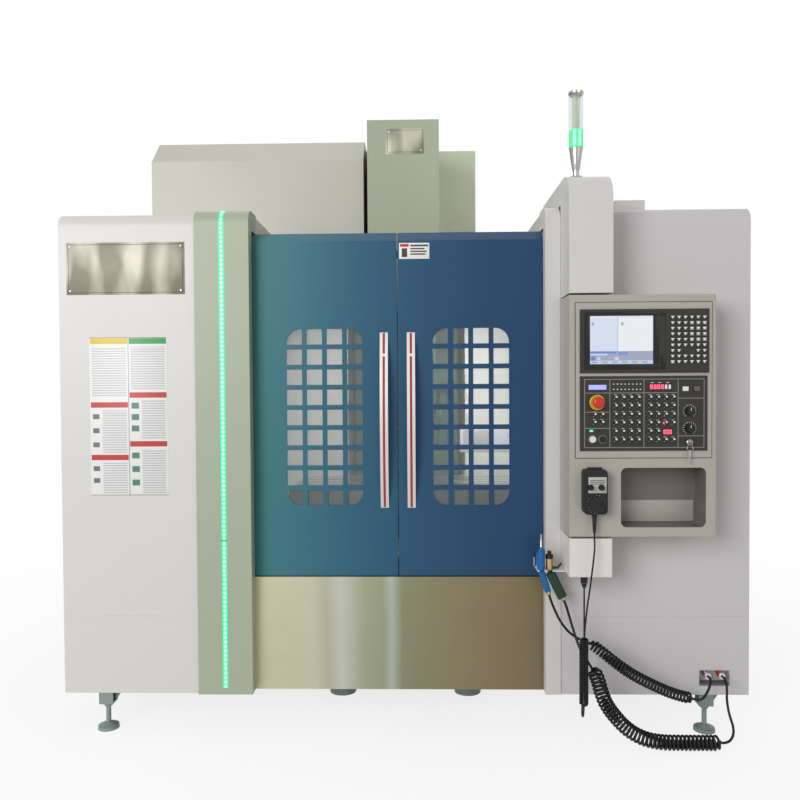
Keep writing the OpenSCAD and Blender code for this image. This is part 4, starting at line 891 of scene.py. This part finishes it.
@dataclass
class Cords:
    """The pendant's coiled lead and the two guns' coiled hoses."""

    lead_d: float = 6.0
    hose_d: float = 9.0
    lead: tuple = ((658, -182, 773.8), (658, -182, 755), (656, -190, 710), (643, -190, 600), (633, -190, 530),
                   (625, -190, 460), (622, -190, 420))
    coil: tuple = ((621.9, -190, 418), (621.1, -190, 408), (620, -190, 350), (620, -190, 250), (620, -190, 180))
    tail: tuple = ((620, -190, 179), (620, -190, 170), (620, -184, 148), (621, -170, 136), (623, -150, 130),
                   (627, -128, 134), (632, -108, 146), (637, -94, 170), (641, -88, 210), (643, -86, 260),
                   (644, -86, 330), (644, -86, 470), (644, -86, 559.8))
    air: tuple = (
        ((521.9, -76, 532.2), (530.4, -76, 506), (543, -80, 475), (560, -86, 441), (585, -94, 408),
         (612, -100, 388), (638, -106, 377), (656, -112, 371)),
        ((657, -112.4, 370.7), (667, -115.5, 367.2), (706, -126, 338), (754, -128, 300), (806, -124, 264),
         (876, -114, 225), (950, -103, 190), (1022, -94, 168)),
        ((1023, -93.9, 167.7), (1031, -92.9, 165.3), (1050, -90, 162), (1064, -86, 167), (1078, -78, 180),
         (1090, -70, 196), (1099, -60, 211), (1103, -48, 220), (1103, -30.2, 221)))
    coolant: tuple = (
        ((574.4, -76, 512.6), (583, -77, 490), (592, -84, 457), (600, -96, 425), (608, -110, 395),
         (616, -124, 368), (626, -135, 345), (642, -144, 320), (656, -149, 298)),
        ((656.5, -149.2, 297.2), (663, -151, 286.6), (676, -152, 258), (688, -152, 216), (708, -148, 168),
         (744, -140, 118), (786, -138, 76), (838, -136, 46), (896, -134, 32), (970, -133, 29), (1110, -133, 29)),
        ((1111, -133, 29), (1120, -133, 29), (1136, -133, 35), (1147, -133, 50), (1151, -132, 69),
         (1149, -130, 90), (1144, -124, 111), (1141, -112, 136), (1144, -92, 166), (1149, -80, 190),
         (1152, -68, 209), (1154, -50, 220), (1154, -30.2, 221)))

    def lay(self, cord: Cord, hidden: Sequence[str], follows: bool = False) -> None:
        """Sweeps one cord, dresses it and hides the nodes that it stands for.

        Args:
            cord: the cord with all its stretches.
            hidden: the nodes that it stands for.
            follows: whether it stays off the enclosure's body, its place put into its mesh.
        """
        line = cord.line()
        obj = cord.tube()
        dress(obj, "cord_rubber")
        if follows:
            at(625, -190, 440)
            at(*self.lead[0])
            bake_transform(obj)
        else:
            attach(obj, Body.ENCLOSURE.value)
        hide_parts(*hidden)
        mm(cord.diameter)

    def build(self) -> None:
        """Makes the three cords."""
        pendant = Cord("pendant_cord", self.lead_d).run(self.lead).coil(self.coil, 32.0, 32).run(self.tail)
        self.lay(pendant, ["pendant_lead", "pendant_coil"], follows=True)
        for name, (top, coil, tail), outside, turns in (("air_hose", self.air, 42.0, 33),
                                                        ("coolant_hose", self.coolant, 54.0, 42)):
            hose = Cord(name, self.hose_d).run(top).coil(coil, outside, turns).run(tail)
            self.lay(hose, ["gun_hoses", "hose_coils"])


@dataclass
class Plate:
    """A bare metal plate with an engraved border and a rivet at each corner."""

    name: str
    x: tuple
    z: tuple
    face_d: float
    thick: float = 1.2
    rivet_in: float = 14.0
    border_in: float = 7.0
    border_w: float = 1.6

    def build(self, body: Body) -> None:
        """Makes the plate, its border and its rivets on a face."""
        front = at(0, self.face_d - self.thick, 0)
        fit(block(self.name, front, self.x, (0, self.thick), self.z, 0.4), "plate_steel", body)
        (a, b), (c, e) = ((low + self.border_in, high - self.border_in) for low, high in (self.x, self.z))
        w = self.border_w
        bars = [(a, b, c, c + w), (a, b, e - w, e), (a, a + w, c, e), (b - w, b, c, e)]
        fit(slabs(self.name + "_border", front, (-0.15, 0), bars), "joint_dark", body)
        places = [near(front, x, 0, z) for x in (self.x[0] + self.rivet_in, self.x[1] - self.rivet_in)
                  for z in (self.z[0] + self.rivet_in, self.z[1] - self.rivet_in)]
        name = self.name + "_rivets"
        head = turned(name, places[0], OUT, [(-0.2, 4.2), (1.0, 4.0), (2.0, 2.8), (2.4, 1.0)], 16)
        fit(repeat(name, head, places), "ground_steel", body)


@dataclass
class Enclosure:
    """Plates, sheet of notices, door card, light strip and louvres of the outside."""

    strip_x: float = -655.5
    label_x: tuple = (-1150.0, -862.0)
    label_z: tuple = (880.0, 1462.0)
    card_d: float = 45.0

    def label(self) -> None:
        """The two-column sheet of notices as plain fields of colour.

        Rows hold left, right, top and bottom in mm, counted from the sheet's upper left corner.
        """
        line, yellow, green, red = (0.12, 0.12, 0.12), (0.7, 0.5, 0.03), (0.04, 0.33, 0.08), (0.5, 0.05, 0.04)
        w, h = (high - low for low, high in (self.label_x, self.label_z))
        fields = [(0, w, 0, 2, line), (0, w, h - 2, h, line), (w / 2 - 1, w / 2 + 1, 0, h, line),
                  (3, 141, 3, 24, yellow), (147, 285, 3, 24, green)]
        for left, right, high, tint, ends in ((3, 141, 20, red, (258, 452)), (147, 285, 20, red, (222, 402)),
                                              (10, 34, 18, (0.16, 0.17, 0.16), (300, 352, 404, 492, 536)),
                                              (154, 182, 22, (0.1, 0.22, 0.17), (262, 304, 346, 446, 496, 546))):
            fields += [(left, right, end - high, end, tint) for end in ends]
        bands = [(8, 136, 34, 215), (152, 280, 34, 190), (46, 136, 268, 425), (192, 280, 232, 372),
                 (46, 136, 462, 574), (192, 280, 412, 574)]
        x, z = self.label_x[0], self.label_z[1]
        rows = [tuple((x + a, x + b, z - e, z - c, *tint) for a, b, c, e, *tint in group)
                for group in (fields, bands)]
        sheet = block("notice_sheet", at(0, 0, 0), self.label_x, (-0.6, 0), self.label_z, 0.2)
        fit(sheet, Sheet("sheet of notices", *rows), Body.ENCLOSURE)

    def card(self) -> None:
        """The small card at the top of the right door."""
        front = at(0, self.card_d, 0)
        fit(block("door_card", front, (-8, 104), (-0.6, 0), (1747, 1806), 0.2), "print_white", Body.RIGHT_DOOR)
        print_rows = [(34, 100, 1793, 1799), (34, 86, 1782, 1787), (34, 94, 1772, 1777), (34, 90, 1762, 1767)]
        for name, rows, finish, rounding in (("card_print", print_rows, "joint_dark", 0.0),
                                             ("card_red", [(-4, 28, 1792, 1802)], "red_plastic", 0.0),
                                             ("card_sign", [(2, 22, 1754, 1786)], "joint_dark", 0.1)):
            fit(slabs(name, front, (-0.9, -0.5), rows, rounding), finish, Body.RIGHT_DOOR)

    def build(self) -> None:
        """Adds the outside's pieces."""
        Plate("name_plate", (-1231.0, -793.0), (1619.0, 1810.0), 0.0).build(Body.ENCLOSURE)
        Plate("head_cover_plate", (-76.0, 92.0), (2290.0, 2400.0), 570.0).build(Body.HEAD)
        self.label()
        self.card()
        slat = block("louvres", at(0, 0, 0), (600, 607), (1820, 2080), (700, 712), 1.5)
        slats = [at(x, 0, z) for x in (600, -607) for z in range(700, 1000, 30)]
        fit(repeat("cabinet_louvres", slat, slats), "white_paint", Body.ENCLOSURE)
        beige = FINISHES["beige_paint"].colour
        # The control box's paint is darkened inside its pocket as painted shade.
        pocket = PocketShadedPaint("control box paint", beige, (753, 1045), (787, 994), -158.0, -30.0)
        dress(frame["nodes"]["control_box"], pocket)
        dress(frame["nodes"]["light_strip"], LightBand("green light band", self.strip_x))
        for node in ("left_handle", "right_handle"):
            low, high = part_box(node)
            middle = (low.x + high.x) * 500.0
            dress(frame["nodes"][node], StripedHandle(node + " steel", middle, low.z * 1000 + 2, high.z * 1000 - 2))


@dataclass
class ScreenUnit:
    """Lit screen with its bezel, and the keys beside it."""

    face: float = -164.0
    x0: float = 613.0
    z0: float = 1318.0
    lit: tuple = (34.0, 31.0, 214.0, 164.0)
    key_step: tuple = (21.6, 18.9)

    def picture(self) -> None:
        """The lit picture of the screen, as plain panes of colour."""
        dx, dz, w, h = self.lit
        x, z = self.x0 + dx, self.z0 + dz
        pale, mark = (0.62, 0.68, 0.86), (0.3, 0.4, 0.55)
        panes = [(96, w, 44, h - 8, (0.86, 0.9, 0.92)), (0, w, h - 8, h, (0.78, 0.82, 0.92)),
                 (0, w, 0, 44, (0.34, 0.38, 0.52)), (2, 90, 36, 43, (0.1, 0.22, 0.68)), (2, 60, 30, 36, pale),
                 (96, 130, 30, 42, (0.2, 0.28, 0.62)), (0, w, 0, 12, (0.6, 0.66, 0.82)),
                 (94, 95.5, 44, h, (0.35, 0.38, 0.45)), (4, 18, 12, 26, (0.06, 0.22, 0.7)),
                 (24, 36, 14, 24, pale), (84, 98, 14, 24, pale), (6, 14, 132, 142, mark), (106, 114, 132, 142, mark)]
        panes += [(6 + i * 34, 26 + i * 34, 3, 9, (0.3, 0.4, 0.66)) for i in range(6)]
        finish = LitScreen("lit screen", tuple((x + a, x + b, z + c, z + e, tint) for a, b, c, e, tint in panes))
        fit(block("screen_picture", at(x, self.face, z), (0, w), (1.2, 2.0), (0, h)), finish)

    def bezel(self) -> None:
        """Glossy bezel round the screen, and the joints beside the keys."""
        corner = at(self.x0, self.face, self.z0)
        bars = [(13, 268, 195, 209), (13, 268, 12, 31), (13, 34, 31, 195), (248, 268, 31, 195), (273, 291, 12, 60),
                (273, 291, 196, 209)]
        fit(slabs("screen_bezel", corner, (-1.2, 0), bars, 0.4), "gloss_black")
        lines = [(x, x + 1.4, 3, 215) for x in (270, 294)]
        fit(slabs("unit_joints", corner, (-0.5, 0), lines), "joint_dark")

    def keys(self) -> None:
        """Pale legends on every key, and lighter caps on the number keys."""
        legends, caps = [], []
        for i in range(6):
            for j in range(9):
                if j == 6 and i in (2, 3):
                    continue
                corner = at(self.x0 + 306 + i * self.key_step[0], self.face - 2,
                            self.z0 + 31 + (8 - j) * self.key_step[1])
                (caps if i > 2 and 0 < j < 5 or (i, j) == (0, 8) else legends).append(corner)
        cap = block("number_caps", caps[0], (1, 14), (-0.8, 0), (1, 12), 0.3)
        fit(repeat("number_caps", cap, caps), "key_grey")
        every = legends + caps
        legend = slabs("legend", every[0], (-1.2, 0), [(2, 13, 8.0, 11.2), (4.5, 9.5, 3, 8.1)])
        fit(repeat("key_legends", legend, every), "print_white")

    def build(self) -> None:
        """Adds the unit's pieces."""
        self.picture()
        self.bezel()
        self.keys()


@dataclass
class OperatorPanel:
    """Button field, displays, lock and small print under the screen."""

    face: float = -164.0
    x0: float = 613.0
    z0: float = 1052.0
    surround: tuple = (598.0, 1062.0, 1027.0, 1560.0)
    surround_d: float = -158.0
    stop: tuple = (58.0, 166.0)

    def spot(self, x: float, z: float, out: float = 0.0) -> Vector:
        """A point on the panel's face, or in front of it."""
        return at(self.x0 + x, self.face - out, self.z0 + z)

    def lines(self) -> None:
        """Printed dividing lines, and the shadow joint round the raised surround."""
        half = 0.9
        rows = [(x - half, x + half, 11, 245) for x in (15.7, 101.4, 217.2, 332.9, 420.7)]
        for a, b, heights in ((15.7, 101.4, (11.3, 77.5, 132.9, 198.4, 244.9)), (101.4, 332.9, (11.3, 198.4, 244.9)),
                              (332.9, 420.7, (11.3, 50.6, 179.4, 244.9))):
            rows += [(a, b, z - half, z + half) for z in heights]
        fit(slabs("panel_print", self.spot(0, 0), (-0.4, 0), rows), "line_grey")
        a, b, c, e = self.surround
        edges = [(a - 1.5, a + 1, c, e), (b - 1, b + 1.5, c, e), (a, b, c - 1.5, c + 1), (a, b, e - 1, e + 1.5)]
        fit(slabs("surround_joint", at(0, self.surround_d, 0), (-0.6, 0), edges), "joint_dark")

    def buttons(self) -> None:
        """Cap, painted highlight and legend marks of every small button."""
        places = [self.spot(114 + m * 118 + i * 26, 30 + j * 29, 3) for m in (0, 1) for i in range(4)
                  for j in range(6) if not (m == 1 and j == 1 and i > 1)]
        places += [self.spot(43 + i * 26, 90 + j * 27, 3) for i in (0, 1) for j in (0, 1)]
        cap = turned("caps", near(places[0], 7, 0, 6), OUT, [(-0.2, 6.2), (1.6, 6.0), (2.8, 4.6), (3.2, 1.6)], 12)
        fit(repeat("button_caps", cap, places), "black_plastic")
        # The white square at each cap's upper right is a painted highlight; the two small marks beside it are legend
        # print.
        marks = [block("mark", places[0], (5.5, 12.2), (-3.5, 0), (6.8, 13.2), 0.6),
                 block("mark", places[0], (1, 4), (-0.4, 0), (1, 3)),
                 block("mark", places[0], (1, 10), (2.6, 3.0), (16.5, 17.8))]
        fit(repeat("button_marks", join("mark", marks), places), "print_white")

    def displays(self) -> None:
        """Blue, red and lit fields, and the rows of small printed signs.

        Each row holds left, width, pitch, count, bottom, height and how far the fields stand out.
        """
        single = (0, 1)
        blocks = {
            "display_blue": [(30, 60, *single, 210, 16, -1.2)],
            "display_red": [(238, 9, 12.4, 4, 211, 15, 0.6), (284, 7, 10, 3, 57, 15, 0.6),
                            (281, 7, *single, 92, 6, 3.6)],
            "print_white": [(288, 8, 12.4, 2, 211, 15, 0.6), (347, 20, *single, 204, 15, 3.8),
                            (112, 5, 13, 8, 209, 3, 0.4), (112, 5, 13, 8, 227, 3, 0.4),
                            (240, 10, 26, 3, 232, 2, 0.4)],
            "lamp_green": [(33, 11, *single, 66, 6, 0.6), (285, 6, *single, 119, 6, 3.6)],
            "display_dark": [(58, 10, *single, 66, 6, 0.6), (234, 78, *single, 207, 22, 0.3),
                             (281, 32, *single, 54, 21, 0.3)]
            + [(241.2, 2.6, 12.4, 4, z, 4.2, 0.8) for z in (213.2, 219.6)]
            + [(286.4, 2.2, 10, 3, z, 4.2, 0.8) for z in (59.2, 65.6)],
            "lamp_off": [(386, 20, *single, 204, 15, 3.8)],
        }
        for finish, rows in blocks.items():
            parts = [block("field", self.spot(x + i * pitch, z, out), (0, w), (0, 0.6), (0, h))
                     for x, w, pitch, count, z, h, out in rows for i in range(count)]
            fit(join("fields_" + finish, parts), finish)

    def rings(self) -> None:
        """Stop with its collar, button bezels, dial marks and pointers."""
        collar = turned("stop_collar", self.spot(*self.stop, 3), OUT,
                        [(0.0, 26.5), (2.0, 26.0), (3.2, 24.0), (3.2, 21.4), (0.3, 21.0)], 48)
        fit(collar, "yellow_plastic")
        cap = turned("stop_cap", self.spot(*self.stop, 10), OUT,
                     [(-2.6, 8.0), (6, 8.5), (8, 15.0), (10, 18.6), (13, 19.8), (19, 19.8), (23, 18.6),
                      (25.5, 15.0), (27, 8.0), (27.4, 2.0)], 48)
        fit(cap, "red_plastic", Body.ESTOP)
        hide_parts("estop")
        bezels = [self.spot(42, 40), self.spot(77, 40)]
        ring = turned("bezel", bezels[0], OUT, [(0, 15.5), (2.0, 15.0), (2.6, 13.6), (2.6, 11.4)])
        fit(repeat("button_bezels", ring, bezels), "lamp_off")
        knob = turned("round_cap", self.spot(77, 40, 6), OUT, [(-0.1, 10.6), (1.5, 10.2), (2.4, 7.0), (2.4, 2.0)])
        fit(knob, "gloss_black")
        for name, z, body in (("feed", 135, Body.FEED), ("speed", 76, Body.SPEED)):
            centre = self.spot(372, z)
            tick = block("tick", centre, (-0.6, 0.6), (-0.4, 0), (19, 23.5))
            fit(spread(name + "_ticks", tick, centre, range(-140, 141, 20)), "print_white")
            fit(block(name + "_pointer", centre, (-0.9, 0.9), (-16.4, -15.8), (2, 12)), "print_white", body)

    def lock(self) -> None:
        """Panel lock with its key, and the second key hanging from the ring."""
        centre = self.spot(372, 28)
        parts = [turned("lock", centre, OUT, [(0, 10.5), (3, 10.2), (4, 8.5), (7, 8.2), (7, 1.5)])]
        for spans in (((-1.2, 1.2), (-20, -6), (-4, 4), 0.3), ((-1.3, 1.3), (-24, -12), (-11, 7), 1.0),
                      ((-8, 2), (-10.5, -8.5), (-50, -26), 1.2), ((-5, -1), (-10.5, -8.5), (-72, -48), 0.4)):
            parts.append(block("key", centre, *spans))
        pick()
        bpy.ops.mesh.primitive_torus_add(location=near(centre, -2, -12, -18), major_radius=mm(10.5),
                                         minor_radius=mm(0.8), major_segments=32, minor_segments=8,
                                         rotation=(math.radians(80), 0, 0))
        parts.append(settle(bpy.context.object))
        fit(join("panel_lock", parts), "chrome")

    def build(self) -> None:
        """Adds the panel's pieces."""
        self.lines()
        self.buttons()
        self.displays()
        self.rings()
        self.lock()


@dataclass
class Pendant:
    """Plate, marks and grip ring of the hand pendant, and the pocket's back plate."""

    wheel: tuple = (661.0, 874.0)
    face: float = -204.0

    def build(self) -> None:
        """Adds the pendant's pieces."""
        front = at(0, self.face, 0)
        fit(block("pendant_plate", front, (633, 694), (-0.3, 0), (913, 967), 0.15), "plate_pale")
        rows = [(638, 688, z, z + 2) for z in (955, 949, 943)]
        fit(slabs("plate_lines", front, (-0.5, -0.2), rows), "joint_dark")
        centre = near(front, self.wheel[0], 0, self.wheel[1])
        tick = block("tick", centre, (-0.5, 0.5), (-0.3, 0), (29.5, 32))
        fit(spread("wheel_ticks", tick, centre, range(0, 360, 18)), "print_white")
        rib = turned("rim", near(centre, 0, -4, 26.8), OUT, [(0, 2.2), (9.0, 2.2), (9.8, 1.4)], 12)
        fit(spread("wheel_rim", rib, centre, range(0, 360, 15)), "gloss_black", Body.WHEEL)
        back = block("pocket_back", at(0, 0, 0), (756, 1038), (-52.2, -51.2), (790, 866), 0.2)
        fit(back, "beige_paint")


@dataclass
class Tower:
    """Signal tower with its foot, cone, lit section, clear tube and cap."""

    x: float = 638.0
    d: float = 20.0
    foot_z: float = 2009.0
    height: float = 336.0

    def build(self) -> None:
        """Adds the tower in place of its plain body."""
        base, h = at(self.x, self.d, self.foot_z), self.height
        parts = [("tower_foot", "chrome", [(0.2, 27.2), (20, 27.4), (24, 25.0)]),
                 ("tower_cone", "chrome", [(24, 11.5), (44, 11.5), (52, 14.0), (100, 21.0), (127, 24.5)]),
                 ("lit_section", "tower_green", [(127.2, 24.0), (128, 25.5), (192, 25.5), (193, 24.0)]),
                 ("tower_rod", "brass", [(193.2, 6.0), (h - 18.4, 6.0)]),
                 ("tower_sleeve", "tower_mist", [(193.4, 14.0), (h - 18.6, 14.0)]),
                 ("tower_tube", "tower_plastic", [(126, 26.8), (h - 18.2, 26.8)]),
                 ("tower_cap", "chrome",
                  [(h - 18, 24.0), (h - 14, 27.5), (h - 6, 27.5), (h - 3, 20.0), (h - 0.2, 8.0)])]
        made = [fit(turned(n, base, UP, rings, 48), f, Body.ENCLOSURE) for n, f, rings in parts]
        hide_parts("signal_tower")
        bar = block("core", base, (-16, -6), (-26.2, -22.2), (132, 188), 2.0)
        fit(repeat("lamp_cores", bar, [base, near(base, 20, 0, 0)]), "tower_core", Body.ENCLOSURE)


@dataclass
class Guns:
    """Metal parts of the two spray guns, and the sleeves of the couplings and the plug."""

    x: tuple = (494.0, 523.0)
    d: float = -76.0
    z: float = 618.0
    lean: tuple = (18.0, 26.0)

    def build(self) -> None:
        """Adds the pieces."""
        air, cool = (at(x, self.d, self.z) for x in self.x)
        sleeve = [(-1, 12.2), (2, 12.6), (22, 12.6), (26, 9.5)]
        for name, finish, base, way, rings, sides in (
                ("air_nozzle", "chrome", air, UP, [(84, 5.6), (92, 5.0), (94, 3.9), (130, 3.6), (130.8, 2.0)], 24),
                ("coolant_body", "brass", cool, UP, [(5.2, 12.0), (6, 12.3), (44, 12.3), (45.5, 11.0)], 32),
                ("coolant_collar", "gloss_black", cool, UP,
                 [(45, 13.7), (46, 14.0), (58, 14.0), (60, 7.2), (71.2, 7.0), (71.6, 3.0)], 32),
                ("red_sleeve", "red_hose_end", at(1154, 4, 221), OUT, sleeve, 24),
                ("grey_sleeve", "motor_grey", at(1103, 4, 221), OUT, sleeve, 6),
                ("pendant_plug", "gloss_black", at(644, -86, 560.4), UP,
                 [(0, 6.3), (17.6, 11.4), (18, 12.3), (55, 12.3)], 24)):
            fit(turned(name, base, way, rings, sides), finish, Body.ENCLOSURE)
        fit(block("air_lever", air, (-23.5, -19.5), (-5.5, 5.5), (16, 64), 1.2), "gloss_black", Body.ENCLOSURE)
        down = [Vector((math.sin(math.radians(a)), 0, -math.cos(math.radians(a)))) for a in self.lean]
        ends = [turned("ferrule", air, down[0], [(77.6, 7.6), (80, 8.4), (86, 8.4), (90, 6.2)], 24),
                turned("ferrule", cool, down[1], [(104.6, 7.6), (107, 8.6), (113, 8.6), (117, 6.2)], 24)]
        fit(join("gun_ferrules", ends), "brass", Body.ENCLOSURE)


@dataclass
class WorkSpace:
    """Valve box on the rear wall of the work space, with its bent pipe."""

    wall: float = 957.0
    x: tuple = (262.0, 500.0)
    z: tuple = (948.0, 1072.0)

    def build(self) -> None:
        """Adds the box, its lid and the pipe."""
        rear = at(0, self.wall, 0)
        fit(block("valve_box", rear, self.x, (-46, 0), self.z, 5), "valve_paint", Body.ENCLOSURE)
        lid = block("valve_lid", rear, (self.x[0] + 16, self.x[1] - 80), (-49, -46),
                    (self.z[0] + 22, self.z[1] - 14), 1.2)
        fit(lid, "line_grey", Body.ENCLOSURE)
        pipe = Cord("valve_pipe", 16.0).run(((500, 930, 1030), (520, 926, 1031), (552, 920, 1022), (566, 918, 996),
                                             (552, 918, 972), (530, 925, 962), (520, 940, 960), (518, 957, 960)))
        fit(pipe.tube(3), "motor_grey", Body.ENCLOSURE)


# Nodes that differ from their material slot, and slots whose nodes are dressed one by one later.
# The lower pillar, column cover, right panel and hood take lighter or darker copies of their paint as painted light
# and shade.
NODE_FINISH: dict = {"magazine_hood": "hood_warm_shaded_white", "column_cover": "cover_lit_sage", "lower_pillar": "pillar_lit_white",
                     "right_panel": "right_shaded_white", "screen_unit": "panel_black", "operator_panel": "panel_black"}
SLOT_FINISH: dict = {"handle_steel": "ground_steel", "light_diffuser": "white_paint"}


def dress_nodes() -> None:
    """Gives every CAD node its own finish or that of its material slot."""
    for entry in frame["record"]["subparts"]:
        name, slot = entry["node"], entry["material_slot"]
        dress(frame["nodes"][name], NODE_FINISH.get(name, SLOT_FINISH.get(slot, slot)))


def main() -> None:
    """Builds the scene in order."""
    logging.basicConfig(level=logging.INFO, format="%(message)s")
    Studio().build()
    dress_nodes()
    for assembly in (Cords, Enclosure, ScreenUnit, OperatorPanel, Pendant, Tower, Guns, WorkSpace):
        assembly().build()
        log.info("%s built", assembly.__name__)


if __name__ == "__main__":
    main()
